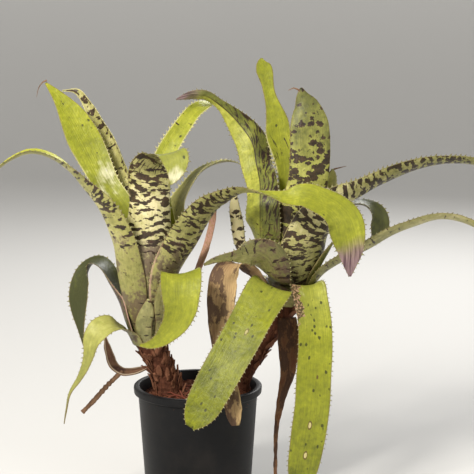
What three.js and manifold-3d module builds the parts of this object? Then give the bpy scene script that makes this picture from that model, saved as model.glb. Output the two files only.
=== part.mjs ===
// Aechmea orlandiana: two young rosettes of spined, banded leaves in a small nursery pot.
// Millimetres, +Z up. The origin is the middle of the pot's foot, and -Y is the front.
import * as THREE from "three";
import Module from "manifold-3d";
import { mergeVertices } from "three/addons/utils/BufferGeometryUtils.js";

const wasm = await Module();
wasm.setup();

// Pot
const potHeight = 90;
const potTopRadius = 47.6;
const potFootRadius = 41.5;
const potWall = 1.6;
const potFloor = 2.4;
const rimReach = 2.8;
const rimDrop = 6;
const potFacets = 48;
const drainRadius = 4;
const drainRing = 27;
const drainCount = 6;

// Potting mix
const mixTop = 80;
const mixDome = 6;
const mixBump = 1.6;

// Every stem and sheath is built on the same twelve compass directions, so nested layers stay parallel.
const compass = 12;
const clearance = 0.3;
const bladeThickness = 1;
const sheathThickness = 0.8;
const marginThickness = 0.6;
const bladeColumns = 4;
const stationLength = 15;
const stationTurn = THREE.MathUtils.degToRad(24);

// Marginal spines
const spineGap = 17;
const spineLength = 3;
const spineBase = 2.2;
const spineSweep = 1.2;

// A crown is the top of a stem: a blunt cone that the leaf sheaths clasp. The outermost sheath follows
// an urn, from the cone's foot out by bulge over the height of fill, and each rank lies one layer inside.
const layer = 1.5;
const sheathStep = 11;
const crownRadius = 12;
const leftCrown = { foot: [-37, -14, 126], taper: 0.27, bulge: 22, fill: 45, step: 2.2, ranks: 7 };
const rightCrown = { foot: [74, 2, 154], taper: 0.21, bulge: 38, fill: 65, step: 2, ranks: 6 };

function finish(colour, roughness) {
  return new THREE.MeshStandardMaterial({ color: colour, roughness, metalness: 0 });
}

const blackPlastic = finish(0x17171a, 0.45);
const coir = finish(0x4a2f20, 0.95);
const stemBark = finish(0x6b4c33, 0.9);
const brightLeaf = finish(0x9bb33c, 0.42);
const bandedLeaf = finish(0x6f7450, 0.5);
const driedLeaf = finish(0xb08a5a, 0.8);

const radians = THREE.MathUtils.degToRad;
const up = new THREE.Vector3(0, 0, 1);
const plant = new THREE.Group();

function add(name, geometry, material) {
  const mesh = new THREE.Mesh(geometry, material);
  mesh.name = name;
  plant.add(mesh);
}

// Builds an indexed geometry with its faces pointing out.
function closedGeometry(points, triangles) {
  let volume = 0;
  for (const [a, b, c] of triangles) {
    volume += points[a].dot(points[b].clone().cross(points[c]));
  }
  const geometry = new THREE.BufferGeometry();
  const places = points.flatMap((point) => point.toArray());
  geometry.setAttribute("position", new THREE.Float32BufferAttribute(places, 3));
  geometry.setIndex(triangles.flatMap(([a, b, c]) => (volume > 0 ? [a, b, c] : [a, c, b])));
  return geometry;
}

function toSolid(geometry) {
  const bare = geometry.clone();
  bare.deleteAttribute("normal");
  bare.deleteAttribute("uv");
  const merged = mergeVertices(bare, 1e-4);
  return new wasm.Manifold(new wasm.Mesh({
    numProp: 3,
    vertProperties: new Float32Array(merged.attributes.position.array),
    triVerts: new Uint32Array(merged.index.array),
  }));
}

function fromSolid(solid) {
  const mesh = solid.getMesh();
  const geometry = new THREE.BufferGeometry();
  geometry.setAttribute("position", new THREE.BufferAttribute(mesh.vertProperties, 3));
  geometry.setIndex(new THREE.BufferAttribute(mesh.triVerts, 1));
  return geometry;
}

// A pile of level rings, each [x, y, z, radius], closed by a cap at both ends.
function ringStack(rows, sides = compass) {
  const points = [];
  for (const [x, y, z, radius] of rows) {
    for (let i = 0; i < sides; i += 1) {
      const angle = (2 * Math.PI * i) / sides;
      points.push(new THREE.Vector3(x + radius * Math.cos(angle), y + radius * Math.sin(angle), z));
    }
  }
  const triangles = [];
  for (let row = 0; row + 1 < rows.length; row += 1) {
    for (let i = 0; i < sides; i += 1) {
      const a = row * sides + i;
      const b = row * sides + ((i + 1) % sides);
      triangles.push([a, b, b + sides], [a, b + sides, a + sides]);
    }
  }
  const last = (rows.length - 1) * sides;
  for (let i = 1; i + 1 < sides; i += 1) {
    triangles.push([0, i + 1, i], [last, last + i, last + i + 1]);
  }
  return closedGeometry(points, triangles);
}

// Pot: a tapered black shell with a rolled rim and drain holes round its floor.
function potWallRadius(z) {
  return THREE.MathUtils.lerp(potFootRadius, potTopRadius, z / potHeight);
}

function makePot() {
  const rim = potTopRadius + rimReach;
  const profile = [
    [0, 0],
    [potFootRadius, 0],
    [potWallRadius(potHeight - rimDrop), potHeight - rimDrop],
    [rim, potHeight - rimDrop],
    [rim + 0.4, potHeight - 1.2],
    [rim - 0.8, potHeight],
    [potTopRadius - potWall + 0.6, potHeight],
    [potTopRadius - potWall, potHeight - 1],
    [potWallRadius(potFloor) - potWall, potFloor],
    [0, potFloor],
  ].map(([r, z]) => new THREE.Vector2(r, z));
  const shell = new THREE.LatheGeometry(profile, potFacets);
  shell.rotateX(Math.PI / 2);
  let solid = toSolid(shell);
  for (let i = 0; i < drainCount; i += 1) {
    const angle = (2 * Math.PI * i) / drainCount;
    const place = [drainRing * Math.cos(angle), drainRing * Math.sin(angle)];
    const drill = ringStack([[...place, -1, drainRadius], [...place, potFloor + 1, drainRadius]]);
    solid = solid.subtract(toSolid(drill));
  }
  add("pot", fromSolid(solid), blackPlastic);
}

// Stems: level rings from the root ball, through the mix and up to the crown, then the hidden cone.
const leftStemRows = [
  [-22, -9, 44, 10],
  [-22, -9, 88, 11],
  [-25, -10, 98, 10.5],
  [-31, -12, 112, 10],
];
const rightStemRows = [
  [33, 5, 44, 7.5],
  [33, 5, 90, 8.5],
  [38, 5, 100, 8.5],
  [53, 4, 124, 8.5],
  [67, 2, 146, 10],
];

function stemWithCrown(rows, crown) {
  const [x, y, z] = crown.foot;
  const height = crown.step * crown.ranks;
  return [
    ...rows,
    [x, y, z, crownRadius],
    [x, y, z + height, crownRadius - crown.taper * height],
  ];
}

// Potting mix: a low dome of coir and bark with plain holes for the two stems.
function makeMix() {
  const rings = [0, 0.22, 0.42, 0.6, 0.76, 0.9, 1];
  const spokes = 24;
  const edge = potWallRadius(mixTop) - potWall - clearance;
  const base = potWallRadius(potFloor) - potWall - clearance;
  const baseZ = potFloor + clearance;
  const points = [new THREE.Vector3(0, 0, mixTop + mixDome)];
  for (const ring of rings.slice(1)) {
    for (let i = 0; i < spokes; i += 1) {
      const angle = (2 * Math.PI * i) / spokes;
      const bump = mixBump * Math.sin(5 * angle + 9 * ring) * Math.sin(7 * ring) * (1 - ring ** 4);
      const z = mixTop + mixDome * (1 - ring ** 2) + bump;
      const reach = edge * ring;
      points.push(new THREE.Vector3(reach * Math.cos(angle), reach * Math.sin(angle), z));
    }
  }
  for (let i = 0; i < spokes; i += 1) {
    const angle = (2 * Math.PI * i) / spokes;
    points.push(new THREE.Vector3(base * Math.cos(angle), base * Math.sin(angle), baseZ));
  }
  points.push(new THREE.Vector3(0, 0, baseZ));
  const triangles = [];
  for (let i = 0; i < spokes; i += 1) {
    const next = (i + 1) % spokes;
    triangles.push([0, 1 + i, 1 + next]);
    for (let ring = 0; ring + 1 < rings.length; ring += 1) {
      const a = 1 + ring * spokes;
      const b = a + spokes;
      triangles.push([a + i, b + i, b + next], [a + i, b + next, a + next]);
    }
    const last = 1 + (rings.length - 1) * spokes;
    triangles.push([points.length - 1, last + next, last + i]);
  }
  let solid = toSolid(closedGeometry(points, triangles));
  for (const [bottom, top] of [leftStemRows, rightStemRows]) {
    const [x, y] = bottom;
    const hole = [
      [x, y, bottom[2] - clearance, bottom[3] + 1.3 * clearance],
      [x, y, top[2], top[3] + 1.3 * clearance],
      [x, y, potHeight + 20, top[3] + 1.3 * clearance],
    ];
    solid = solid.subtract(toSolid(ringStack(hole)));
  }
  add("pottingMix", fromSolid(solid), coir);
}

// Leaf rows hold a place on the midrib, the width, the cup in radians and where the inner face looks.
function direction(azimuth, elevation) {
  const level = Math.cos(radians(elevation));
  return new THREE.Vector3(
    level * Math.cos(radians(azimuth)),
    level * Math.sin(radians(azimuth)),
    Math.sin(radians(elevation)),
  );
}

function sheathRow(leaf, height) {
  const { foot, bulge, fill } = leaf.crown;
  const fade = Math.exp(-height / fill);
  const skin = crownRadius + clearance + sheathThickness / 2;
  const reach = skin + bulge * (1 - fade) - layer * leaf.rank;
  const out = direction(leaf.side, 0);
  const cup = radians(leaf.wrap);
  return {
    place: new THREE.Vector3(...foot).addScaledVector(out, reach).addScaledVector(up, height),
    heading: up.clone().addScaledVector(out, (bulge / fill) * fade).normalize(),
    upright: 1,
    width: cup * reach,
    cup,
    face: out.negate(),
    thickness: sheathThickness,
  };
}

function bladeRow([x, y, z, width, cup, azimuth, elevation]) {
  return {
    place: new THREE.Vector3(x, y, z),
    upright: 0,
    width,
    cup: radians(cup),
    face: direction(azimuth, elevation),
    thickness: bladeThickness,
  };
}

// A blade row heads along the curve through its neighbours, weighted toward the nearer one.
function leafRows(leaf) {
  const rows = leaf.blade.map(bladeRow);
  if (leaf.crown) {
    const start = leaf.crown.step * leaf.rank;
    const parts = Math.max(1, Math.round((leaf.rise - start) / sheathStep));
    for (let k = parts; k >= 0; k -= 1) {
      rows.unshift(sheathRow(leaf, THREE.MathUtils.lerp(start, leaf.rise, k / parts)));
    }
  }
  rows.forEach((row, i) => {
    const back = row.place.clone().sub((rows[i - 1] ?? row).place);
    const ahead = (rows[i + 1] ?? row).place.clone().sub(row.place);
    const backShare = ahead.lengthSq() || 1;
    const aheadShare = back.lengthSq() || 1;
    const weighted = back.multiplyScalar(backShare).addScaledVector(ahead, aheadShare);
    row.heading ??= weighted.normalize();
  });
  return rows;
}

// Stations lie along the midrib, closer together where it bends.
function leafStations(rows) {
  const stations = [];
  for (let i = 0; i + 1 < rows.length; i += 1) {
    const from = rows[i];
    const to = rows[i + 1];
    const span = from.place.distanceTo(to.place);
    const turn = Math.max(from.heading.angleTo(to.heading), from.face.angleTo(to.face));
    const parts = Math.max(1, Math.round(Math.max(span / stationLength, turn / stationTurn)));
    const path = new THREE.CubicBezierCurve3(
      from.place,
      from.place.clone().addScaledVector(from.heading, span / 3),
      to.place.clone().addScaledVector(to.heading, -span / 3),
      to.place,
    );
    for (let k = 0; k < parts; k += 1) {
      const t = k / parts;
      const between = (key) => THREE.MathUtils.lerp(from[key], to[key], t);
      stations.push({
        place: path.getPoint(t),
        along: path.getTangent(t).lerp(up, between("upright")).normalize(),
        face: from.face.clone().lerp(to.face, t),
        upright: between("upright"),
        width: between("width"),
        cup: between("cup"),
        thickness: between("thickness"),
      });
    }
  }
  const tip = rows[rows.length - 1];
  stations.push({ ...tip, along: tip.heading });
  return stations;
}

// One cross-section: an arc whose margins curl toward the inner face.
function section(station) {
  const across = station.along.clone().cross(station.face).normalize();
  const inward = across.clone().cross(station.along).normalize();
  const arc = station.width / station.cup;
  const inner = [];
  const outer = [];
  for (let j = 0; j <= bladeColumns; j += 1) {
    const angle = (j / bladeColumns - 0.5) * station.cup;
    const rim = j === 0 || j === bladeColumns;
    const half = (rim ? marginThickness : station.thickness) / 2;
    const middle = station.place.clone()
      .addScaledVector(across, arc * Math.sin(angle))
      .addScaledVector(inward, arc * (1 - Math.cos(angle)));
    const normal = inward.clone()
      .multiplyScalar(Math.cos(angle))
      .addScaledVector(across, -Math.sin(angle));
    inner.push(middle.clone().addScaledVector(normal, half));
    outer.push(middle.clone().addScaledVector(normal, -half));
  }
  return { inner, outer };
}

// Which strips of a margin carry a spine: one each spineGap along it, on both sides in turn.
function spinedStrips(leaf, stations) {
  const strips = [new Set(), new Set()];
  if (leaf.spineless) {
    return strips;
  }
  let travelled = 0;
  const due = [spineGap * 0.5, spineGap];
  for (let i = 1; i < stations.length; i += 1) {
    const step = stations[i].place.distanceTo(stations[i - 1].place);
    travelled += step;
    const roomy = step > 2 * spineBase && stations[i].width > 2.5;
    const free = stations[i - 1].upright < 0.5;
    for (const margin of [0, 1]) {
      if (travelled > due[margin] && roomy && free) {
        strips[margin].add(i - 1);
        due[margin] = travelled + spineGap * 0.8;
      }
    }
  }
  return strips;
}

function makeLeaf(leaf) {
  const stations = leafStations(leafRows(leaf));
  const last = stations.length - 1;
  const columns = bladeColumns;
  const points = [];
  const triangles = [];
  const ringSize = 2 * (columns + 1);
  for (const station of stations) {
    const { inner, outer } = section(station);
    points.push(...inner, ...outer);
  }
  const at = (i, j, side) => i * ringSize + side * (columns + 1) + j;
  const strips = spinedStrips(leaf, stations);
  const quad = (a, b, c, d) => triangles.push([a, b, c], [a, c, d]);
  for (let i = 0; i < last; i += 1) {
    const next = i + 1;
    for (let j = 0; j < columns; j += 1) {
      const margin = j === 0 ? 0 : 1;
      if ((j === 0 || j === columns - 1) && strips[margin].has(i)) {
        addSpine(i, margin);
        continue;
      }
      quad(at(i, j, 0), at(i, j + 1, 0), at(next, j + 1, 0), at(next, j, 0));
      triangles.push([at(i, j, 1), at(next, j + 1, 1), at(i, j + 1, 1)]);
      triangles.push([at(i, j, 1), at(next, j, 1), at(next, j + 1, 1)]);
    }
    if (!strips[0].has(i)) {
      quad(at(i, 0, 0), at(next, 0, 0), at(next, 0, 1), at(i, 0, 1));
    }
    if (!strips[1].has(i)) {
      quad(at(i, columns, 1), at(next, columns, 1), at(next, columns, 0), at(i, columns, 0));
    }
  }
  for (let j = 0; j < columns; j += 1) {
    quad(at(0, j, 0), at(0, j, 1), at(0, j + 1, 1), at(0, j + 1, 0));
    quad(at(last, j, 0), at(last, j + 1, 0), at(last, j + 1, 1), at(last, j, 1));
  }
  add(leaf.name, closedGeometry(points, triangles), leaf.material);

  // Splits the margin strip between two stations and raises a swept spine from its middle.
  function addSpine(i, margin) {
    const next = i + 1;
    const edge = margin === 0 ? 0 : columns;
    const inboard = margin === 0 ? 1 : columns - 1;
    const length = stations[i].place.distanceTo(stations[next].place);
    const half = spineBase / 2 / length;
    const corner = (t, side) => points[at(i, edge, side)].clone().lerp(points[at(next, edge, side)], t);
    const first = points.length;
    for (const side of [0, 1]) {
      points.push(corner(0.5 - half, side), corner(0.5 + half, side));
    }
    const root = corner(0.5, 0).lerp(corner(0.5, 1), 0.5);
    const inside = points[at(i, inboard, 0)].clone().lerp(points[at(next, inboard, 1)], 0.5);
    const out = root.clone().sub(inside).normalize();
    const along = points[at(next, edge, 0)].clone().sub(points[at(i, edge, 0)]).normalize();
    const tip = first + 4;
    points.push(root.addScaledVector(out, spineLength).addScaledVector(along, spineSweep));
    const faces = [];
    for (const side of [0, 1]) {
      const hub = at(i, inboard, side);
      const near = first + 2 * side;
      const far = near + 1;
      const fan = [at(next, inboard, side), at(next, edge, side), far, near, at(i, edge, side)];
      for (let k = 0; k + 1 < fan.length; k += 1) {
        faces.push(side === 0 ? [hub, fan[k], fan[k + 1]] : [hub, fan[k + 1], fan[k]]);
      }
    }
    const [innerNear, innerFar, outerNear, outerFar] = [first, first + 1, first + 2, first + 3];
    faces.push([at(i, edge, 0), innerNear, outerNear], [at(i, edge, 0), outerNear, at(i, edge, 1)]);
    faces.push([innerFar, at(next, edge, 0), at(next, edge, 1)]);
    faces.push([innerFar, at(next, edge, 1), outerFar]);
    faces.push([innerNear, innerFar, tip], [innerFar, outerFar, tip]);
    faces.push([outerFar, outerNear, tip], [outerNear, innerNear, tip]);
    triangles.push(...(margin === 0 ? faces : faces.map(([a, b, c]) => [a, c, b])));
  }
}
// Blade rows: x, y, z, width, cup in degrees, then azimuth and elevation of the inner face.
const leaves = [
  {
    name: "leftTall",
    material: brightLeaf,
    crown: leftCrown,
    rank: 6,
    side: 142,
    wrap: 94,
    rise: 58,
    blade: [
      [-59, 4, 231, 20, 65, -66, 5],
      [-71, 10, 247, 21, 40, -74, 10],
      [-81, 17, 266, 25, 30, -80, 15],
      [-90, 22, 283, 28, 25, -80, 18],
      [-99, 26, 300, 22, 25, -80, 20],
      [-109, 29, 314, 11, 30, -80, 20],
      [-120, 31, 326, 2, 30, -80, 20],
    ],
  },
  {
    name: "leftArch",
    material: bandedLeaf,
    crown: leftCrown,
    rank: 3,
    side: 213,
    wrap: 112,
    rise: 54,
    blade: [
      [-60, -37, 213, 34, 84, 40, 10],
      [-69, -40, 234, 31, 70, 36, 24],
      [-83, -40, 251, 29, 58, 26, 37],
      [-96, -39, 265, 26, 52, 12, 50],
      [-110, -38, 274, 24, 50, 4, 68],
      [-123, -39, 277, 22, 50, 0, 86],
      [-137, -40, 272, 17, 50, 180, 70],
      [-149, -42, 263, 10, 50, 180, 55],
      [-156, -43, 254, 2, 50, 180, 50],
    ],
  },
  {
    name: "leftFolded",
    material: bandedLeaf,
    crown: leftCrown,
    rank: 5,
    side: 100,
    wrap: 78,
    rise: 60,
    blade: [
      [-53, 17, 239, 20, 110, -110, 10],
      [-59, 26, 256, 19, 125, -130, 10],
      [-66, 31, 274, 18, 120, -138, 15],
      [-76, 38, 290, 15, 110, -140, 20],
      [-86, 43, 306, 11, 100, -140, 25],
      [-96, 46, 318, 6, 90, -150, 30],
      [-109, 48, 319, 2, 80, -160, 40],
    ],
  },
  {
    name: "leftFront",
    material: bandedLeaf,
    crown: leftCrown,
    rank: 4,
    side: 270,
    wrap: 112,
    rise: 70,
    blade: [
      [-35, -37, 238, 34, 98, 90, 3],
      [-35, -38, 251, 34, 75, 88, 6],
      [-34, -38, 260, 34, 56, 94, 10],
      [-32, -39, 268, 32, 42, 114, 24],
      [-26, -42, 273, 27, 30, 128, 48],
      [-20, -47, 277, 24, 20, 130, 76],
      [-16, -52, 277, 23, 16, -85, 52],
      [-14, -55, 270, 20, 20, -88, 10],
      [-15, -55, 262, 11, 25, -88, 0],
      [-18, -55, 255, 2, 35, -88, 0],
    ],
  },
  {
    name: "leftBright",
    material: brightLeaf,
    crown: leftCrown,
    rank: 5,
    side: 15,
    wrap: 78,
    rise: 70,
    blade: [
      [-28, -6, 255, 19, 80, -110, 5],
      [-24, -1, 272, 17, 50, -100, 12],
      [-17, 4, 285, 15, 40, -95, 18],
      [-10, 10, 295, 14, 35, -95, 22],
      [-3, 17, 304, 13, 35, -95, 28],
      [5, 26, 309, 12, 40, -90, 45],
      [11, 34, 310, 9, 40, -90, 75],
      [17, 40, 305, 2, 40, 60, 65],
    ],
  },
  {
    name: "leftBack",
    material: bandedLeaf,
    crown: leftCrown,
    rank: 4,
    side: 75,
    wrap: 84,
    rise: 58,
    blade: [
      [-17, 12, 219, 26, 64, -132, 14],
      [-14, 14, 233, 26, 60, -150, 32],
      [-7, 18, 245, 23, 55, -160, 45],
      [2, 23, 256, 21, 55, -170, 55],
      [13, 27, 262, 18, 50, 180, 70],
      [24, 31, 264, 12, 50, 180, 85],
      [33, 34, 262, 2, 50, 0, 85],
    ],
  },
  {
    name: "leftLong",
    material: bandedLeaf,
    crown: leftCrown,
    rank: 3,
    side: 330,
    wrap: 114,
    rise: 30,
    blade: [
      [-17, -31, 185, 42, 104, 146, 8],
      [-8, -33, 206, 37, 86, 132, 16],
      [1, -35, 224, 31, 65, 125, 30],
      [10, -38, 236, 27, 50, 120, 42],
      [21, -41, 243, 23, 45, 115, 52],
      [33, -43, 248, 18, 50, 110, 62],
      [45, -45, 248, 10, 70, 100, 80],
      [57, -47, 246, 10, 60, -90, 70],
      [69, -49, 244, 16, 45, -90, 48],
      [81, -50, 246, 22, 35, -90, 38],
      [92, -51, 242, 24, 30, -85, 42],
      [103, -52, 236, 28, 28, -75, 40],
      [110, -53, 228, 30, 25, -75, 25],
      [113, -54, 218, 28, 25, -80, 10],
      [115, -54, 206, 21, 25, -82, 3],
      [115, -54, 196, 12, 25, -85, -3],
      [115, -54, 186, 2, 25, -85, -3],
    ],
  },
  {
    name: "leftReflexed",
    material: brightLeaf,
    crown: leftCrown,
    rank: 1,
    side: 330,
    wrap: 84,
    rise: 16,
    blade: [
      [-18, -34, 167, 32, 80, 140, 10],
      [-13, -39, 180, 31, 55, 130, 35],
      [-11, -46, 187, 31, 40, -60, 86],
      [-11, -54, 183, 32, 40, -80, 50],
      [-11, -59, 174, 30, 40, -80, 15],
      [-11, -61, 164, 26, 38, -80, 5],
      [-14, -61, 154, 21, 42, -85, 3],
      [-20, -58, 145, 16, 50, -95, 5],
      [-27, -52, 137, 11, 55, -110, 5],
      [-36, -46, 132, 6, 65, -120, 0],
      [-43, -42, 131, 2, 70, -125, 0],
    ],
  },
  {
    name: "leftSide",
    material: bandedLeaf,
    crown: leftCrown,
    rank: 1,
    side: 180,
    wrap: 84,
    rise: 22,
    blade: [
      [-61, -8, 159, 26, 80, 0, 15],
      [-68, -3, 173, 26, 60, -10, 25],
      [-73, 2, 183, 25, 45, -20, 50],
      [-80, 6, 187, 24, 40, 180, 85],
      [-87, 9, 181, 22, 40, 215, 45],
      [-92, 10, 169, 21, 40, 230, 15],
      [-94, 10, 157, 20, 35, 238, 3],
      [-94, 10, 145, 15, 35, 238, 0],
      [-93, 10, 134, 8, 35, 235, 0],
      [-91, 10, 119, 2, 35, 230, 0],
    ],
  },
  {
    name: "leftLow",
    material: brightLeaf,
    crown: leftCrown,
    rank: 0,
    side: 210,
    wrap: 84,
    rise: 8,
    blade: [
      [-57, -27, 140, 18, 55, 30, 58],
      [-66, -33, 145, 21, 40, 245, 46],
      [-73, -37, 142, 23, 36, 240, 28],
      [-79, -39, 134, 17, 38, 236, 14],
      [-81, -39, 124, 12, 40, 228, 8],
      [-84, -40, 114, 10, 40, 222, 8],
      [-89, -41, 104, 7, 40, 215, 10],
      [-96, -42, 94, 3.6, 50, 210, 10],
      [-99, -43, 82, 2.4, 60, 205, 0],
      [-101, -44, 70, 1.2, 60, 205, 0],
    ],
  },
  {
    name: "leftScale",
    material: bandedLeaf,
    crown: leftCrown,
    rank: 1,
    side: 258,
    wrap: 44,
    rise: 18,
    blade: [
      [-37, -36, 157, 12, 45, 85, -5],
      [-36, -38, 166, 2, 45, 85, -5],
    ],
  },
  {
    name: "leftDriedStrip",
    material: driedLeaf,
    spineless: true,
    crown: leftCrown,
    rank: 0,
    side: 0,
    wrap: 50,
    rise: 6,
    blade: [
      [-16, -12, 146, 8, 60, 190, 20],
      [-6, -11, 166, 7, 50, 215, 20],
      [2, -9, 186, 6.5, 50, 235, 15],
      [9, -7, 206, 6.5, 50, 240, 15],
      [13, -5, 227, 5.5, 50, 240, 10],
      [14, -3, 244, 1.5, 50, 240, 10],
    ],
  },
  {
    name: "rightFolded",
    material: bandedLeaf,
    crown: rightCrown,
    rank: 4,
    side: 195,
    wrap: 82,
    rise: 36,
    blade: [
      [49, -18, 219, 33, 60, 58, 3],
      [49, -19, 235, 30, 58, 62, 5],
      [49, -9, 250, 27, 54, 75, 8],
      [46, 7, 265, 25, 50, 92, 10],
      [43, 13, 280, 27, 50, 105, 10],
      [35, 18, 292, 23, 60, 108, 10],
      [26, 20, 302, 15, 75, 105, 10],
      [17, 20, 310, 7, 90, 90, 20],
      [6, 16, 317, 9, 50, 80, 20],
      [-5, 12, 317, 8, 50, 80, 20],
      [-16, 9, 314, 1.5, 50, 80, 20],
    ],
  },
  {
    name: "rightTall",
    material: brightLeaf,
    crown: rightCrown,
    rank: 5,
    side: 90,
    wrap: 110,
    rise: 28,
    blade: [
      [72, 14, 207, 20, 85, -90, 3],
      [71, 7, 226, 15, 80, -90, 5],
      [69, 2, 244, 11, 60, -90, 5],
      [68, 1, 260, 12, 45, -88, 3],
      [66, 1, 274, 17, 40, -85, 3],
      [63, 2, 286, 20, 40, -85, 5],
      [62, 3, 297, 19, 40, -85, 5],
      [59, 4, 309, 12, 50, -85, 5],
      [56, 5, 319, 8.5, 50, -85, 5],
      [54, 6, 329, 10, 45, -85, 5],
      [52, 7, 337, 15, 35, -85, 5],
      [50, 7, 342, 14, 35, -85, 5],
      [50, 7, 346, 2, 35, -85, 5],
    ],
  },
  {
    name: "rightOval",
    material: bandedLeaf,
    crown: rightCrown,
    rank: 5,
    side: 270,
    wrap: 108,
    rise: 40,
    blade: [
      [78, -22, 226, 35, 90, 90, 3],
      [83, -21, 241, 34, 70, 92, 5],
      [86, -20, 256, 32, 55, 95, 8],
      [87, -18, 272, 32, 48, 95, 10],
      [87, -16, 287, 32, 45, 95, 12],
      [86, -14, 300, 30, 45, 95, 15],
      [84, -11, 310, 22, 45, 95, 18],
      [81, -9, 318, 11, 45, 95, 18],
      [80, -8, 324, 2, 50, 95, 18],
    ],
  },
  {
    name: "rightBud",
    material: bandedLeaf,
    crown: rightCrown,
    rank: 5,
    side: 0,
    wrap: 54,
    rise: 36,
    blade: [
      [100, 3, 231, 16, 68, 165, 4],
      [103, 2, 243, 15, 55, 138, 6],
      [105, 1, 253, 12, 45, 118, 8],
      [105, 0, 261, 2, 45, 115, 8],
    ],
  },
  {
    name: "rightArm",
    material: bandedLeaf,
    crown: rightCrown,
    rank: 4,
    side: 300,
    wrap: 114,
    rise: 46,
    blade: [
      [94, -23, 220, 42, 112, 122, 5],
      [107, -19, 235, 35, 85, 135, 30],
      [122, -15, 243, 30, 60, 120, 48],
      [139, -13, 252, 28, 50, 105, 58],
      [157, -13, 260, 27, 45, 105, 62],
      [177, -14, 266, 26, 45, 100, 68],
      [195, -15, 268, 23, 45, 90, 72],
      [212, -17, 267, 19, 45, 80, 70],
      [227, -18, 261, 11, 45, 60, 68],
      [238, -19, 254, 2, 45, 60, 68],
    ],
  },
  {
    name: "rightLowArm",
    material: bandedLeaf,
    crown: rightCrown,
    rank: 2,
    side: 345,
    wrap: 84,
    rise: 14,
    blade: [
      [96, -8, 178, 26, 70, 160, 25],
      [111, -11, 190, 26, 55, 150, 45],
      [129, -14, 200, 25, 50, 130, 60],
      [148, -17, 212, 25, 45, 120, 65],
      [167, -19, 220, 24, 45, 110, 68],
      [184, -21, 225, 22, 45, 90, 72],
      [201, -22, 224, 19, 45, 80, 72],
      [216, -23, 218, 14, 45, 60, 70],
      [232, -24, 209, 2, 45, 60, 70],
    ],
  },
  {
    name: "rightBack",
    material: bandedLeaf,
    crown: rightCrown,
    rank: 3,
    side: 45,
    wrap: 84,
    rise: 34,
    blade: [
      [105, 16, 217, 22, 70, 200, 25],
      [118, 21, 229, 21, 55, 195, 50],
      [132, 26, 230, 20, 40, -80, 84],
      [142, 28, 223, 20, 35, -58, 42],
      [145, 29, 213, 18, 35, -68, 15],
      [143, 29, 203, 12, 35, -75, 0],
      [138, 29, 196, 2, 35, -75, 0],
    ],
  },
  {
    name: "rightYoung",
    material: brightLeaf,
    crown: rightCrown,
    rank: 3,
    side: 330,
    wrap: 52,
    rise: 24,
    blade: [
      [97, -11, 191, 11, 60, 150, 10],
      [102, -12, 200, 8, 50, 150, 10],
      [107, -13, 208, 2, 50, 150, 10],
    ],
  },
  {
    name: "rightSmall",
    material: brightLeaf,
    crown: rightCrown,
    rank: 2,
    side: 150,
    wrap: 56,
    rise: 10,
    blade: [
      [51, 6, 174, 13, 60, 10, 40],
      [40, 9, 186, 12, 50, 20, 40],
      [33, 10, 200, 11, 45, 60, 15],
      [31, 10, 216, 11, 45, 80, 5],
      [29, 9, 230, 9, 45, 80, 5],
      [29, 8, 244, 2, 45, 80, 5],
    ],
  },
  {
    name: "rightPointed",
    material: brightLeaf,
    crown: rightCrown,
    rank: 2,
    side: 235,
    wrap: 80,
    rise: 16,
    blade: [
      [60, -26, 180, 24, 70, 58, 4],
      [57, -31, 189, 31, 58, 64, 5],
      [52, -35, 197, 35, 46, 68, 6],
      [43, -38, 201, 22, 40, 70, 10],
      [34, -39, 199, 12, 40, 66, 14],
      [23, -40, 198, 6.5, 40, 62, 18],
      [12, -39, 195, 5, 42, 58, 22],
      [6, -38, 192, 2, 45, 55, 26],
    ],
  },
  {
    name: "rightBroad",
    material: brightLeaf,
    crown: rightCrown,
    rank: 0,
    side: 234,
    wrap: 78,
    rise: 5,
    blade: [
      [60, -18, 168, 26, 55, 50, 50],
      [58, -26, 173, 35, 38, 0, 66],
      [53, -35, 168, 36, 32, -88, 55],
      [45, -44, 156, 34, 33, -108, 32],
      [34, -54, 138, 33, 32, -110, 22],
      [24, -61, 122, 32, 30, -110, 18],
      [14, -66, 105, 31, 30, -110, 12],
      [5, -69, 89, 28, 30, -110, 8],
      [-1, -70, 80, 20, 30, -110, 8],
      [-4, -70, 75, 8, 30, -110, 8],
    ],
  },
  {
    name: "rightHanging",
    material: brightLeaf,
    crown: rightCrown,
    rank: 1,
    side: 306,
    wrap: 72,
    rise: 9,
    blade: [
      [84, -18, 170, 24, 58, 120, 45],
      [85, -26, 174, 28, 40, -80, 85],
      [86, -35, 167, 28, 35, -75, 40],
      [89, -41, 152, 27, 32, -75, 18],
      [90, -44, 132, 27, 30, -80, 10],
      [89, -47, 109, 27, 30, -85, 10],
      [88, -49, 86, 27, 30, -88, 8],
      [85, -51, 63, 27, 30, -90, 8],
      [81, -53, 38, 24, 30, -90, 8],
      [78, -54, 21, 15, 30, -90, 8],
      [76, -54, 11, 2, 30, -90, 8],
    ],
  },
  {
    name: "rightDried",
    material: driedLeaf,
    spineless: true,
    crown: rightCrown,
    rank: 0,
    side: 160,
    wrap: 50,
    rise: 4,
    blade: [
      [52, 1, 169, 15, 60, 20, 38],
      [41, -5, 180, 21, 50, 50, 38],
      [30, -11, 188, 23, 42, 90, 82],
      [23, -16, 182, 24, 45, -115, 30],
      [20, -22, 168, 24, 50, -105, 10],
      [19, -31, 150, 21, 50, -100, 15],
      [20, -40, 132, 17, 55, -100, 15],
      [22, -48, 117, 14, 60, -102, 15],
      [26, -57, 102, 14, 55, -102, 15],
      [28, -61, 90, 14, 45, -98, 10],
      [29, -62, 80, 12, 45, -98, 8],
      [30, -62, 74, 6, 45, -98, 5],
    ],
  },
  {
    name: "rightDriedBrown",
    material: driedLeaf,
    spineless: true,
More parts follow.
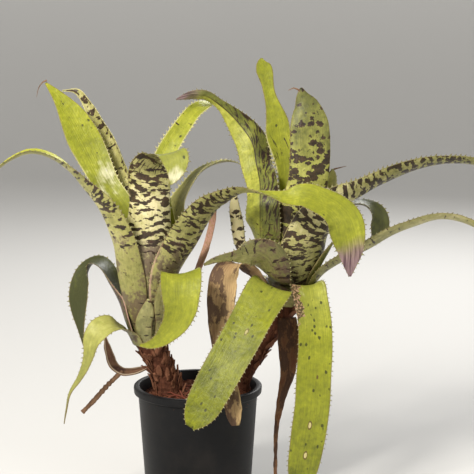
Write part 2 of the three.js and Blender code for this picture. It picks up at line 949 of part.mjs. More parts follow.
    blade: [
      [70, -8, 145, 14, 60, -90, 0],
      [71, -14, 133, 18, 50, -90, 5],
      [71, -18, 118, 16, 60, -90, 5],
      [70, -20, 102, 12, 70, -90, 5],
      [66, -22, 87, 7, 80, -90, 5],
      [62, -23, 63, 4, 90, -90, 0],
      [61, -24, 39, 3, 90, -90, 0],
      [61, -25, 19, 2.6, 90, -90, 0],
      [61, -25, 5, 1.2, 90, -90, 0],
    ],
  },
];

// A dried leaf base clings to the left stem as a hook, with a broken flower stalk hanging from it.
const driedHookRows = [
  [-39.4, -12.5, 107, 1.7],
  [-43.5, -13.8, 106, 2.9],
  [-50, -16, 105, 3.3],
  [-57.5, -18, 105, 3.7],
  [-64, -19, 109.5, 4.2],
  [-67.4, -19, 118, 4],
  [-69.5, -18.5, 126, 2.8],
  [-71, -18, 133.5, 1],
];
const driedStalkRows = [
  [-61, -19, 104, 1.9],
  [-70, -21, 94, 2.1],
  [-80, -24, 83, 2.2],
  [-89, -26, 74, 2],
];

// A rod of round sections square to its own path, each row being [x, y, z, radius].
function rod(rows, sides = 8) {
  const places = rows.map(([x, y, z]) => new THREE.Vector3(x, y, z));
  const points = [];
  rows.forEach(([, , , radius], i) => {
    const before = places[Math.max(i - 1, 0)];
    const after = places[Math.min(i + 1, rows.length - 1)];
    const along = after.clone().sub(before).normalize();
    const across = along.clone().cross(new THREE.Vector3(0, 1, 0)).normalize();
    const other = along.clone().cross(across);
    for (let k = 0; k < sides; k += 1) {
      const angle = (2 * Math.PI * k) / sides;
      points.push(places[i].clone()
        .addScaledVector(across, radius * Math.cos(angle))
        .addScaledVector(other, radius * Math.sin(angle)));
    }
  });
  const triangles = [];
  for (let i = 0; i + 1 < rows.length; i += 1) {
    for (let k = 0; k < sides; k += 1) {
      const a = i * sides + k;
      const b = i * sides + ((k + 1) % sides);
      triangles.push([a, b, b + sides], [a, b + sides, a + sides]);
    }
  }
  const last = (rows.length - 1) * sides;
  for (let k = 1; k + 1 < sides; k += 1) {
    triangles.push([0, k + 1, k], [last, last + k, last + k + 1]);
  }
  return closedGeometry(points, triangles);
}

makePot();
makeMix();
add("stemLeft", ringStack(stemWithCrown(leftStemRows, leftCrown)), stemBark);
add("stemRight", ringStack(stemWithCrown(rightStemRows, rightCrown)), stemBark);
leaves.forEach(makeLeaf);
const driedHook = toSolid(rod(driedHookRows)).add(toSolid(rod(driedStalkRows)));
add("leftDriedHook", fromSolid(driedHook), driedLeaf);

export default plant;
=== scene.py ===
import math
import random
import bpy
import numpy as np
from mathutils import Matrix, Vector, noise


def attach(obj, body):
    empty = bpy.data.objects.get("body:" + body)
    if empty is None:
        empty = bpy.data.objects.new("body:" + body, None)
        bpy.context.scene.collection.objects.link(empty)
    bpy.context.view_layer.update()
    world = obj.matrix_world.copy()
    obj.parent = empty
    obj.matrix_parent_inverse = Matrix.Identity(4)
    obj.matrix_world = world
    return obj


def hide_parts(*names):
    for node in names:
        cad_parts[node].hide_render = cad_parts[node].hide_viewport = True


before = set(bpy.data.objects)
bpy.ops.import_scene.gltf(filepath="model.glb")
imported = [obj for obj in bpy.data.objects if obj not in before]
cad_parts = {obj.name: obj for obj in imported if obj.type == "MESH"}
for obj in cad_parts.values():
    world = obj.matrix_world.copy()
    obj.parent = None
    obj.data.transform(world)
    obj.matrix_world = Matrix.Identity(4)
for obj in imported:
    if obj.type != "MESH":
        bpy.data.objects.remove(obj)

mm = 0.001
scene = bpy.context.scene
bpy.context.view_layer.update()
print("frame loaded with", len(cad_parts), "nodes")


# shader and node helpers
class Wire:
    # one socket that takes part in arithmetic, so shader maths reads as an expression
    def __init__(self, tree, socket):
        self.tree = tree
        self.socket = socket

    def calc(self, operation, *others):
        values = dict(enumerate((self, *others)))
        return addNode(self.tree, "ShaderNodeMath", values, operation=operation)

    def __add__(self, other):
        return self.calc("ADD", other)

    __radd__ = __add__

    def __sub__(self, other):
        return self.calc("SUBTRACT", other)

    def __rsub__(self, other):
        return addNode(self.tree, "ShaderNodeMath", {0: other, 1: self}, operation="SUBTRACT")

    def __mul__(self, other):
        return self.calc("MULTIPLY", other)

    __rmul__ = __mul__

    def __truediv__(self, other):
        return self.calc("DIVIDE", other)

    def __rtruediv__(self, other):
        return addNode(self.tree, "ShaderNodeMath", {0: other, 1: self}, operation="DIVIDE")

    def __neg__(self):
        return self * -1.0

    def __abs__(self):
        return self.calc("ABSOLUTE")

    def clip(self):
        return self.calc("MAXIMUM", 0.0).calc("MINIMUM", 1.0)

    def step(self, low, high):
        # smooth rise from 0 at low to 1 at high
        values = {"Value": self, "From Min": low, "From Max": high}
        return addNode(self.tree, "ShaderNodeMapRange", values, interpolation_type="SMOOTHSTEP")

    def split(self):
        parts = addNode(self.tree, "ShaderNodeSeparateXYZ", {0: self})
        return [parts.beside(i) for i in range(3)]

    def beside(self, output):
        # another output of the same node
        return Wire(self.tree, self.socket.node.outputs[output])


def addNode(tree, kind, values=None, output=0, stops=None, **settings):
    made = tree.nodes.new(kind)
    for key, value in settings.items():
        setattr(made, key, value)
    if stops:
        ramp = made.color_ramp.elements
        while len(ramp) < len(stops):
            ramp.new(0.5)
        for element, (place, colour) in zip(ramp, stops):
            element.position = place
            element.color = (*colour, 1)
    for key, value in (values or {}).items():
        if isinstance(value, Wire):
            tree.links.new(value.socket, made.inputs[key])
        else:
            made.inputs[key].default_value = value
    return Wire(tree, made.outputs[output])


class Paint:
    # a material under construction
    def __init__(self, name, **shader):
        self.material = bpy.data.materials.new(name)
        self.material.use_nodes = True
        self.tree = self.material.node_tree
        self.shader = self.tree.nodes["Principled BSDF"]
        for key, value in shader.items():
            self.shader.inputs[key.replace("_", " ")].default_value = value

    def add(self, kind, values=None, output=0, **settings):
        return addNode(self.tree, kind, values, output, **settings)

    def number(self, name):
        return self.add("ShaderNodeAttribute", output="Fac", attribute_name=name)

    def vector(self, name):
        return self.add("ShaderNodeAttribute", output="Vector", attribute_name=name)

    def coords(self):
        return self.add("ShaderNodeTexCoord", output="Object")

    def join(self, x, y, z):
        return self.add("ShaderNodeCombineXYZ", {0: x, 1: y, 2: z})

    def stretch(self, vector, factors):
        return self.add("ShaderNodeVectorMath", {0: vector, 1: factors}, operation="MULTIPLY")

    def noise(self, vector, scale, detail=2.0, rough=0.5):
        values = {"Vector": vector, "Scale": scale, "Detail": detail, "Roughness": rough}
        return self.add("ShaderNodeTexNoise", values)

    def cells(self, vector):
        # distance to the nearest of many scattered points, and one random number for each point
        away = self.add("ShaderNodeTexVoronoi", {"Vector": vector, "Scale": 1.0})
        return away, self.add("ShaderNodeSeparateColor", {0: away.beside("Color")})

    def mix(self, factor, first, second):
        first = first if isinstance(first, Wire) else (*first, 1)
        second = second if isinstance(second, Wire) else (*second, 1)
        return self.add("ShaderNodeMix", {0: factor, 6: first, 7: second}, 2, data_type="RGBA")

    def mixValue(self, factor, first, second):
        return self.add("ShaderNodeMix", {0: factor, 2: first, 3: second}, data_type="FLOAT")

    def bump(self, height, distance):
        self.link("Normal", self.add("ShaderNodeBump", {"Height": height, "Distance": distance}))

    def link(self, name, wire):
        self.tree.links.new(wire.socket, self.shader.inputs[name])


def newTree(name, inputs):
    tree = bpy.data.node_groups.new(name, "GeometryNodeTree")
    face = tree.interface
    face.new_socket("Geometry", in_out="INPUT", socket_type="NodeSocketGeometry")
    for label, kind, value in inputs:
        made = face.new_socket(label, in_out="INPUT", socket_type="NodeSocket" + kind)
        if value is not None:
            made.default_value = value
    face.new_socket("Geometry", in_out="OUTPUT", socket_type="NodeSocketGeometry")
    start = tree.nodes.new("NodeGroupInput")
    return tree, {out.name: Wire(tree, out) for out in start.outputs if out.name}


def endTree(tree, pieces, material):
    # instances become plain mesh, because the export drops them
    pieces = addNode(tree, "GeometryNodeRealizeInstances", {0: pieces})
    pieces = addNode(tree, "GeometryNodeSetMaterial", {"Geometry": pieces, "Material": material})
    end = tree.nodes.new("NodeGroupOutput")
    tree.links.new(pieces.socket, end.inputs[0])


def stand(tree, upright, grain):
    # a rotation with the z axis along upright and the x axis turned toward grain
    turn = addNode(tree, "FunctionNodeAlignRotationToVector", {"Vector": upright}, axis="Z")
    values = {"Rotation": turn, "Vector": grain}
    return addNode(tree, "FunctionNodeAlignRotationToVector", values, axis="X", pivot_axis="Z")


def chance(tree, low, high, seed):
    # a random number between low and high for each point
    values = {2: low, 3: high, "Seed": seed}
    return addNode(tree, "FunctionNodeRandomValue", values, 1, data_type="FLOAT")


def finalMesh(made):
    graph = bpy.context.evaluated_depsgraph_get()
    return bpy.data.meshes.new_from_object(made.evaluated_get(graph), depsgraph=graph)


def useNodes(base, treeName, build, inputs, name):
    # runs a geometry tree on base and returns a plain mesh object
    tree = bpy.data.node_groups.get(treeName) or build(treeName)
    modifier = base.modifiers.new(treeName, "NODES")
    modifier.node_group = tree
    sockets = {i.name: i.identifier for i in tree.interface.items_tree if i.in_out == "INPUT"}
    for key, value in inputs.items():
        modifier[sockets[key]] = value
    mesh = finalMesh(base)
    base.modifiers.remove(modifier)
    mesh.shade_smooth()
    return addObject(mesh, name)


# mesh helpers
def newMesh(name, points, faces, edges=()):
    mesh = bpy.data.meshes.new(name)
    mesh.from_pydata([tuple(p) for p in points], edges, faces)
    mesh.update()
    mesh.shade_smooth()
    return mesh


def addObject(mesh, name=None):
    made = bpy.data.objects.new(name or mesh.name, mesh)
    scene.collection.objects.link(made)
    return made


def setAttribute(mesh, name, values):
    values = np.asarray(values, np.float32)
    kind, key = ("FLOAT_VECTOR", "vector") if values.ndim > 1 else ("FLOAT", "value")
    mesh.attributes.new(name, kind, "POINT").data.foreach_set(key, values.ravel())


def circle(count):
    return [2 * math.pi * k / count for k in range(count)]


def tubeFaces(rings, sides):
    # quads between rings of points, then a cap at each end
    faces = []
    for i in range(rings - 1):
        for k in range(sides):
            a, b = i * sides + k, i * sides + (k + 1) % sides
            faces.append((a, b, b + sides, a + sides))
    faces.append(tuple(range(sides))[::-1])
    faces.append(tuple(range((rings - 1) * sides, rings * sides)))
    return faces


def place(made, slot, node=None, material=None):
    # declares a finished object as one piece of the plant
    if material:
        made.data.materials.clear()
        made.data.materials.append(material)
    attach(made, "root")
    if node:
        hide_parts(node)


# camera and studio; places and sizes in metres, lens and sensor in mm
camera = {"place": (0.031, -1.0879, 0.3703), "tilt": 81.5, "lens": 107.1, "sensor": 36}
lamps = {  # place, aim, size, watts, colour
    "key": ((-0.75, -1.05, 1.15), (0.03, 0, 0.2), 0.45, 38, (1, 0.97, 0.91)),
    "fill": ((1.3, -1.1, 0.7), (0.03, 0, 0.18), 0.9, 5.5, (0.93, 0.97, 1)),
    "rim": ((0.5, 1.2, 1.1), (0.03, 0, 0.22), 0.6, 15, (1, 1, 1)),
}
sky = {"colour": (0.86, 0.87, 0.88, 1), "strength": 0.43}
sweep = {  # a floor that curves up into a wall, which glows toward its top
    "tone": (0.6, 0.59, 0.57), "flat": 2.4, "bend": 1.6, "top": 3.4, "sides": 96,
    "glow": 0.3, "glowTone": (1, 0.98, 0.95), "glowFull": 1.6,
}


def makeStudio():
    lens = bpy.data.cameras.new("camera")
    lens.lens = camera["lens"]
    lens.sensor_width = camera["sensor"]
    eye = addObject(lens)
    eye.location = camera["place"]
    eye.rotation_euler = (math.radians(camera["tilt"]), 0, 0)
    scene.camera = eye
    for name, (position, target, size, power, colour) in lamps.items():
        lamp = bpy.data.lights.new(name, "AREA")
        lamp.size = size
        lamp.energy = power
        lamp.color = colour
        made = addObject(lamp)
        made.location = position
        aim = Vector(target) - Vector(position)
        made.rotation_euler = aim.to_track_quat("-Z", "Y").to_euler()
    world = bpy.data.worlds.new("studio")
    world.use_nodes = True
    backdrop = world.node_tree.nodes["Background"]
    backdrop.inputs["Color"].default_value = sky["colour"]
    backdrop.inputs["Strength"].default_value = sky["strength"]
    scene.world = world
    scene.view_settings.view_transform = "Standard"


def makeSweep():
    # the curve goes all round, so that no view meets a horizon
    bend = sweep["bend"]
    arc = [math.radians(a) for a in range(0, 91, 6)]
    outline = [(sweep["flat"] + bend * math.sin(a), bend * (1 - math.cos(a))) for a in arc]
    outline.append((sweep["flat"] + bend, sweep["top"]))
    sides = sweep["sides"]
    points = [(r * math.cos(a), r * math.sin(a), z) for r, z in outline for a in circle(sides)]
    faces = [face[::-1] for face in tubeFaces(len(outline), sides)[:-1]]
    paint = Paint("floor", Roughness=0.9, Specular_IOR_Level=0.2, Emission_Strength=sweep["glow"])
    paint.shader.inputs["Base Color"].default_value = (*sweep["tone"], 1)
    rise = paint.coords().split()[2].step(0.0, sweep["glowFull"])
    paint.link("Emission Color", paint.mix(rise, (0, 0, 0), sweep["glowTone"]))
    ground = addObject(newMesh("ground", points, faces))
    ground.data.materials.append(paint.material)


makeStudio()
makeSweep()
print("camera and studio ready")


# leaves, living and dried
sheath = {  # crowns that the leaf bases clasp, in mm; fill is how fast the bulge opens with height
    "radius": 12, "clearance": 0.3, "skin": 0.8, "layer": 1.5, "stride": 11,
    "left": {"foot": (-37, -14, 126), "bulge": 22, "fill": 45, "step": 2.2},
    "right": {"foot": (74, 2, 154), "bulge": 38, "fill": 65, "step": 2},
}
blade = {
    "columns": 18,  # faces across one side
    "stride": 2.0,  # mm between cross-sections
    "thickness": 0.95, "tipThickness": 0.45,  # mm, and the share of it left at the tip
    "taper": 12,  # the tip thins over one part in this many
    "polish": 10, "settle": 2,  # smoothing passes over width, cup and face, and over the midrib
    "ripple": 0.32, "rippleLength": 4.5,  # mm of margin undulation, and along the leaf
    "buckle": 0.5, "buckleSize": (16, 24),  # mm of broad unevenness, and across and along
    "crumpleSize": (4.5, 8), "fineCrumple": (2, 5),  # mm across and along, in a crumpled leaf
}

# crown, rank, side, wrap and rise shape the sheath: rank 0 is outermost, side and wrap are degrees
# round the crown, rise is in mm; skins says how far the outer and the inner face have the inner green
# blade rows: x, y, z and width in mm, then cup, azimuth and elevation of the inner face in degrees
leaves = {
    "leftTall": {
        "slot": "brightLeaf", "crown": "left", "rank": 6, "side": 142, "wrap": 94, "rise": 58,
        "tone": [(0, 0.35), (0.4, 0.6), (1, 0.72)], "band": [(0, 0.9), (0.5, 0.5), (1, 0.2)],
        "through": 0, "spots": 0.35, "scurf": [(0, 0.3), (0.5, 0.15), (1, 0.05)],
        # a painted highlight lies across the middle of the blade
        "paintedSheen": [(0, 0), (0.42, 0.1), (0.5, 0.5), (0.6, 0.66), (0.68, 0.3), (0.74, 0)],
        "pale": [(0, 0.9), (0.6, 0.9), (0.8, 0.3), (1, 0.1)],
        "spines": [(0, 1.1), (0.6, 1.1), (0.8, 0.5), (1, 0.4)], "pitch": 7,
        "blade": [
            (-59, 4, 231, 20, 65, -66, 5), (-71, 10, 247, 21, 40, -74, 10),
            (-81, 17, 266, 25, 30, -80, 15), (-90, 22, 283, 28, 25, -80, 18),
            (-99, 26, 300, 22, 25, -80, 20), (-109, 29, 314, 11, 30, -80, 20),
            (-120, 31, 326, 2, 30, -80, 20),
        ],
    },
    "leftArch": {
        "slot": "bandedLeaf", "crown": "left", "rank": 3, "side": 213, "wrap": 112, "rise": 54,
        "tone": [(0, 0.6), (0.3, 0.72), (0.6, 0.78), (1, 0.72)],
        "band": [
            (0, 0.3), (0.2, 0.25), (0.34, 0.42), (0.44, 0.72), (0.54, 0.74), (0.64, 0.6), (0.78, 0.35),
            (1, 0.1),
        ],
        "through": 0.05, "skins": (0.25, 1), "lean": 0.2, "spots": 0.4, "scurf": 0.12,
        "dusk": [(0, 1.1), (0.18, 1), (0.3, 0.7), (0.45, 0)], "pitch": 6.5,
        "blade": [
            (-60, -37, 213, 34, 84, 40, 10), (-69, -40, 234, 31, 70, 36, 24),
            (-83, -40, 251, 29, 58, 26, 37), (-96, -39, 265, 26, 52, 12, 50),
            (-110, -38, 274, 24, 50, 4, 68), (-123, -39, 277, 22, 50, 0, 86),
            (-137, -40, 272, 17, 50, 180, 70), (-149, -42, 263, 10, 50, 180, 55),
            (-156, -43, 254, 2, 50, 180, 50),
        ],
    },
    "leftFolded": {
        "slot": "bandedLeaf", "crown": "left", "rank": 5, "side": 100, "wrap": 78, "rise": 60,
        "tone": [(0, 0.6), (1, 0.75)], "band": 0.85, "through": 0.85, "skins": (0, 0.15), "spots": 0.1,
        "scurf": 0.1, "blots": 0.4, "pale": 0.9, "pitch": 7,
        "blade": [
            (-53, 17, 239, 20, 110, -110, 10), (-59, 26, 256, 19, 125, -130, 10),
            (-66, 31, 274, 18, 120, -138, 15), (-76, 38, 290, 15, 110, -140, 20),
            (-86, 43, 306, 11, 100, -140, 25), (-96, 46, 318, 6, 90, -150, 30),
            (-109, 48, 319, 2, 80, -160, 40),
        ],
    },
    "leftFront": {
        "slot": "bandedLeaf", "crown": "left", "rank": 4, "side": 270, "wrap": 112, "rise": 70,
        "tone": [
            (0, 0.5), (0.3, 0.75), (0.45, 0.9), (0.6, 0.93), (0.7, 0.66), (0.8, 0.54), (1, 0.7),
        ],
        "band": [
            (0, 0.25), (0.2, 0.2), (0.36, 0.35), (0.42, 0.95), (0.46, 0.98), (0.5, 0.76), (0.6, 0.8),
            (0.64, 0.94), (0.72, 0.86), (0.8, 0.55), (1, 0.1),
        ],
        "through": [(0, 0), (0.8, 0), (1, 0.12)],
        "streaks": [(0, 0), (0.64, 0), (0.72, 1.1), (0.83, 1.2), (0.86, 0)],
        "scurf": [(0, 0.3), (0.75, 0.1), (0.86, 0.4), (1, 0.5)],
        "dusk": [(0, 1.1), (0.2, 1.25), (0.36, 1.2), (0.43, 0.7), (0.5, 0)],
        # a painted highlight lies on the folded tip
        "paintedSheen": [(0, 0), (0.84, 0), (0.93, 0.6), (1, 0.7)], "pitch": 6.2,
        "blade": [
            (-35, -37, 238, 34, 98, 90, 3), (-35, -38, 251, 34, 75, 88, 6),
            (-34, -38, 260, 34, 56, 94, 10), (-32, -39, 268, 32, 42, 114, 24),
            (-26, -42, 273, 27, 30, 128, 48), (-20, -47, 277, 24, 20, 130, 76),
            (-16, -52, 277, 23, 16, -85, 52), (-14, -55, 270, 20, 20, -88, 10),
            (-15, -55, 262, 11, 25, -88, 0), (-18, -55, 255, 2, 35, -88, 0),
        ],
    },
    "leftBright": {
        "slot": "brightLeaf", "crown": "left", "rank": 5, "side": 15, "wrap": 78, "rise": 70,
        "tone": [(0, 0.4), (0.5, 0.75), (1, 0.7)], "band": 0.35,
        "through": [(0, 0), (0.6, 0.2), (1, 0.35)], "spots": 0.45, "scurf": 0.15, "pale": 0.85,
        "spines": 1.15, "pitch": 7,
        "blade": [
            (-28, -6, 255, 19, 80, -110, 5), (-24, -1, 272, 17, 50, -100, 12),
            (-17, 4, 285, 15, 40, -95, 18), (-10, 10, 295, 14, 35, -95, 22),
            (-3, 17, 304, 13, 35, -95, 28), (5, 26, 309, 12, 40, -90, 45),
            (11, 34, 310, 9, 40, -90, 75), (17, 40, 305, 2, 40, 60, 65),
        ],
    },
    "leftBack": {
        "slot": "bandedLeaf", "crown": "left", "rank": 4, "side": 75, "wrap": 84, "rise": 58,
        "tone": [(0, 0.42), (0.4, 0.5), (1, 0.55)], "band": 0.35, "through": 0.3, "skins": (0, 0.25),
        "scurf": 0.1, "dusk": [(0, 0.9), (0.3, 0.75), (0.5, 0.65), (0.8, 0.5), (1, 0.4)], "pale": 1.4,
        "spines": 1.5,
        "blade": [
            (-17, 12, 219, 26, 64, -132, 14), (-14, 14, 233, 26, 60, -150, 32),
            (-7, 18, 245, 23, 55, -160, 45), (2, 23, 256, 21, 55, -170, 55),
            (13, 27, 262, 18, 50, 180, 70), (24, 31, 264, 12, 50, 180, 85),
            (33, 34, 262, 2, 50, 0, 85),
        ],
    },
    "leftLong": {
        "slot": "bandedLeaf", "crown": "left", "rank": 3, "side": 330, "wrap": 114, "rise": 30,
        "tone": [(0, 0.6), (0.2, 0.76), (0.45, 0.56), (0.6, 0.68), (1, 0.68)],
        "band": [
            (0, 0.2), (0.18, 0.2), (0.24, 0.4), (0.27, 0.92), (0.3, 0.74), (0.4, 0.82), (0.5, 0.84),
            (0.57, 0.5), (0.65, 0.05), (1, 0),
        ],
        "through": [(0, 0.2), (0.55, 0.6), (0.62, 0), (1, 0)], "skins": (0.15, 1),
        "spots": [(0, 0.12), (0.6, 0.12), (0.7, 0.45), (1, 0.5)],
        "scurf": [(0, 0.2), (0.5, 0.15), (1, 0.12)],
        "dusk": [(0, 1.15), (0.2, 1.15), (0.26, 0.9), (0.32, 0)],
        "blush": [(0, 0.9), (0.22, 0.8), (0.3, 0)],
        "wither": [(0, 0), (0.86, 0), (0.9, 0.35), (0.95, 0.75), (1, 1)], "pitch": 5,
        "blade": [
            (-17, -31, 185, 42, 104, 146, 8), (-8, -33, 206, 37, 86, 132, 16),
            (1, -35, 224, 31, 65, 125, 30), (10, -38, 236, 27, 50, 120, 42),
            (21, -41, 243, 23, 45, 115, 52), (33, -43, 248, 18, 50, 110, 62),
            (45, -45, 248, 10, 70, 100, 80), (57, -47, 246, 10, 60, -90, 70),
            (69, -49, 244, 16, 45, -90, 48), (81, -50, 246, 22, 35, -90, 38),
            (92, -51, 242, 24, 30, -85, 42), (103, -52, 236, 28, 28, -75, 40),
            (110, -53, 228, 30, 25, -75, 25), (113, -54, 218, 28, 25, -80, 10),
            (115, -54, 206, 21, 25, -82, 3), (115, -54, 196, 12, 25, -85, -3),
            (115, -54, 186, 2, 25, -85, -3),
        ],
    },
    "leftReflexed": {
        "slot": "brightLeaf", "crown": "left", "rank": 1, "side": 330, "wrap": 84, "rise": 16,
        "tone": [(0, 0.4), (0.3, 0.66), (0.7, 0.66), (1, 0.55)], "band": 0.3, "through": 0,
        "scurf": [(0, 0.3), (0.3, 0.2), (1, 0.1)],
        "scars": [(0, 0), (0.3, 0.3), (0.4, 0.55), (0.7, 0.5), (1, 0)],
        "paintedSheen": [(0, 0), (0.3, 0), (0.4, 0.3), (0.5, 0)], "pitch": 7,
        "blade": [
            (-18, -34, 167, 32, 80, 140, 10), (-13, -39, 180, 31, 55, 130, 35),
            (-11, -46, 187, 31, 40, -60, 86), (-11, -54, 183, 32, 40, -80, 50),
            (-11, -59, 174, 30, 40, -80, 15), (-11, -61, 164, 26, 38, -80, 5),
            (-14, -61, 154, 21, 42, -85, 3), (-20, -58, 145, 16, 50, -95, 5),
            (-27, -52, 137, 11, 55, -110, 5), (-36, -46, 132, 6, 65, -120, 0),
            (-43, -42, 131, 2, 70, -125, 0),
        ],
    },
    "leftSide": {
        "slot": "bandedLeaf", "crown": "left", "rank": 1, "side": 180, "wrap": 84, "rise": 22,
        # its tone falls below zero toward the tip: painted shade, for a leaf that lies in shadow
        "tone": [(0, 0.22), (0.3, 0.02), (1, -0.1)], "through": 0.2, "spots": 0.1, "scurf": 0.1,
        "blush": [(0, 0.9), (0.3, 0.7), (0.4, 0)],
        "blade": [
            (-61, -8, 159, 26, 80, 0, 15), (-68, -3, 173, 26, 60, -10, 25),
            (-73, 2, 183, 25, 45, -20, 50), (-80, 6, 187, 24, 40, 180, 85),
            (-87, 9, 181, 22, 40, 215, 45), (-92, 10, 169, 21, 40, 230, 15),
            (-94, 10, 157, 20, 35, 238, 3), (-94, 10, 145, 15, 35, 238, 0),
            (-93, 10, 134, 8, 35, 235, 0), (-91, 10, 119, 2, 35, 230, 0),
        ],
    },
    "leftLow": {
        "slot": "brightLeaf", "crown": "left", "rank": 0, "side": 210, "wrap": 84, "rise": 8,
        "tone": [(0, 0.5), (0.3, 0.74), (0.6, 0.55), (1, 0.4)], "band": 0.15, "skins": (0.1, 0.6),
        "dusk": [(0, 1), (0.2, 0.9), (0.32, 0)], "pitch": 7,
        "blade": [
            (-57, -27, 140, 18, 55, 30, 58), (-66, -33, 145, 21, 40, 245, 46),
            (-73, -37, 142, 23, 36, 240, 28), (-79, -39, 134, 17, 38, 236, 14),
            (-81, -39, 124, 12, 40, 228, 8), (-84, -40, 114, 10, 40, 222, 8),
            (-89, -41, 104, 7, 40, 215, 10), (-96, -42, 94, 3.6, 50, 210, 10),
            (-99, -43, 82, 2.4, 60, 205, 0), (-101, -44, 70, 1.2, 60, 205, 0),
        ],
    },
    "leftScale": {
        "slot": "bandedLeaf", "crown": "left", "rank": 1, "side": 258, "wrap": 44, "rise": 18,
        "tone": 0.42, "band": 0.4, "through": 0, "spots": 0, "scurf": 0.45, "pitch": 6, "spines": 0,
        "blade": [
            (-37, -36, 157, 12, 45, 85, -5), (-36, -38, 166, 2, 45, 85, -5),
        ],
    },
    "leftDriedStrip": {
        "slot": "driedLeaf", "crown": "left", "rank": 0, "side": 0, "wrap": 50, "rise": 6,
        "tone": 0.55, "band": 0.1, "through": 0.95, "spines": 0, "crumple": 0.5,
        "blade": [
            (-16, -12, 146, 8, 60, 190, 20), (-6, -11, 166, 7, 50, 215, 20),
            (2, -9, 186, 6.5, 50, 235, 15), (9, -7, 206, 6.5, 50, 240, 15),
            (13, -5, 227, 5.5, 50, 240, 10), (14, -3, 244, 1.5, 50, 240, 10),
        ],
    },
    "rightFolded": {
        "slot": "bandedLeaf", "crown": "right", "rank": 4, "side": 195, "wrap": 82, "rise": 36,
        "tone": [(0, 0.5), (0.5, 0.5), (0.8, 0.52), (1, 0.45)],
        "band": [(0, 0.7), (0.35, 0.4), (0.5, 0.2), (1, 0.1)],
        "through": [(0, 0.5), (0.3, 0.46), (0.8, 0.5), (1, 0.3)], "skins": (0.85, 1),
        "streaks": [
            (0, 0.3), (0.22, 0.5), (0.34, 0.8), (0.5, 0.82), (0.75, 0.86), (0.86, 0.8), (0.94, 0),
        ],
        "lean": 0.36, "crease": [(0, 0), (0.3, 0.5), (0.42, 1), (0.84, 1), (0.92, 0)], "spots": 0.9,
        "scurf": [(0, 0.2), (0.8, 0.1), (1, 0.3)], "wither": [(0, 0), (0.86, 0), (0.93, 0.5), (1, 0.9)],
        "crumple": [(0, 0), (0.84, 0), (0.92, 0.9), (1, 1)], "pitch": 5.6,
        "blade": [
            (49, -18, 219, 33, 60, 58, 3), (49, -19, 235, 30, 58, 62, 5), (49, -9, 250, 27, 54, 75, 8),
            (46, 7, 265, 25, 50, 92, 10), (43, 13, 280, 27, 50, 105, 10),
            (35, 18, 292, 23, 60, 108, 10), (26, 20, 302, 15, 75, 105, 10),
            (17, 20, 310, 7, 90, 90, 20), (6, 16, 317, 9, 50, 80, 20), (-5, 12, 317, 8, 50, 80, 20),
            (-16, 9, 314, 1.5, 50, 80, 20),
        ],
    },
    "rightTall": {
        "slot": "brightLeaf", "crown": "right", "rank": 5, "side": 90, "wrap": 110, "rise": 28,
        "tone": [(0, 0.4), (0.4, 0.64), (1, 0.62)], "band": 0.25, "through": 0, "spots": 0.45,
        "scurf": [(0, 0.2), (0.5, 0.2), (0.7, 0.1), (1, 0.1)],
        "streaks": [(0, 0), (0.5, 0.3), (0.57, 0.8), (0.66, 0.75), (0.74, 0.2), (0.8, 0)],
        "pale": [(0, 1), (0.6, 1), (0.75, 0.35), (1, 0.15)],
        "spines": [(0, 1.6), (0.6, 1.6), (0.74, 0.6), (0.85, 0.35), (1, 0.35)], "pitch": 7,
        "blade": [
            (72, 14, 207, 20, 85, -90, 3), (71, 7, 226, 15, 80, -90, 5), (69, 2, 244, 11, 60, -90, 5),
            (68, 1, 260, 12, 45, -88, 3), (66, 1, 274, 17, 40, -85, 3), (63, 2, 286, 20, 40, -85, 5),
            (62, 3, 297, 19, 40, -85, 5), (59, 4, 309, 12, 50, -85, 5), (56, 5, 319, 8.5, 50, -85, 5),
            (54, 6, 329, 10, 45, -85, 5), (52, 7, 337, 15, 35, -85, 5), (50, 7, 342, 14, 35, -85, 5),
            (50, 7, 346, 2, 35, -85, 5),
        ],
    },
    "rightOval": {
        "slot": "bandedLeaf", "crown": "right", "rank": 5, "side": 270, "wrap": 108, "rise": 40,
        "tone": [(0, 0.6), (0.45, 0.78), (0.65, 0.66), (0.8, 0.42), (1, 0.3)],
        "band": [
            (0, 0.85), (0.3, 1), (0.4, 1.2), (0.56, 1.15), (0.68, 0.9), (0.8, 0.64), (0.92, 0.5),
            (1, 0.3),
        ],
        "through": 0.3, "skins": (0.6, 1), "spots": 1, "scurf": [(0, 0.2), (0.7, 0.15), (1, 0.15)],
        "blots": [(0, 0), (0.25, 0.2), (0.4, 0.5), (0.5, 0.8), (1, 1)], "spines": 0.45, "pitch": 6.4,
        "blade": [
            (78, -22, 226, 35, 90, 90, 3), (83, -21, 241, 34, 70, 92, 5),
            (86, -20, 256, 32, 55, 95, 8), (87, -18, 272, 32, 48, 95, 10),
            (87, -16, 287, 32, 45, 95, 12), (86, -14, 300, 30, 45, 95, 15),
            (84, -11, 310, 22, 45, 95, 18), (81, -9, 318, 11, 45, 95, 18),
            (80, -8, 324, 2, 50, 95, 18),
        ],
    },
    "rightBud": {
        "slot": "bandedLeaf", "crown": "right", "rank": 5, "side": 0, "wrap": 54, "rise": 36,
        "tone": 0.5, "band": 0.2, "scurf": 0.2, "pitch": 6,
        "blade": [
            (100, 3, 231, 16, 68, 165, 4), (103, 2, 243, 15, 55, 138, 6),
            (105, 1, 253, 12, 45, 118, 8), (105, 0, 261, 2, 45, 115, 8),
        ],
    },
    "rightArm": {
        "slot": "bandedLeaf", "crown": "right", "rank": 4, "side": 300, "wrap": 114, "rise": 46,
        "tone": [(0, 0.5), (0.22, 0.68), (0.3, 1), (0.38, 1), (0.5, 0.74), (1, 0.4)],
        "band": [(0, 0.7), (0.15, 0.8), (0.3, 0.96), (0.45, 0.9), (0.6, 0.95), (1, 0.8)],
        "through": 0.35, "skins": (0.12, 1), "spots": 0.2,
        "blots": [(0, 0), (0.4, 0), (0.6, 0.35), (1, 0.45)],
        "scurf": [(0, 0.3), (0.25, 0.25), (0.35, 0.12)],
        "dusk": [(0, 0.8), (0.12, 0.55), (0.22, 0.2), (0.28, 0)],
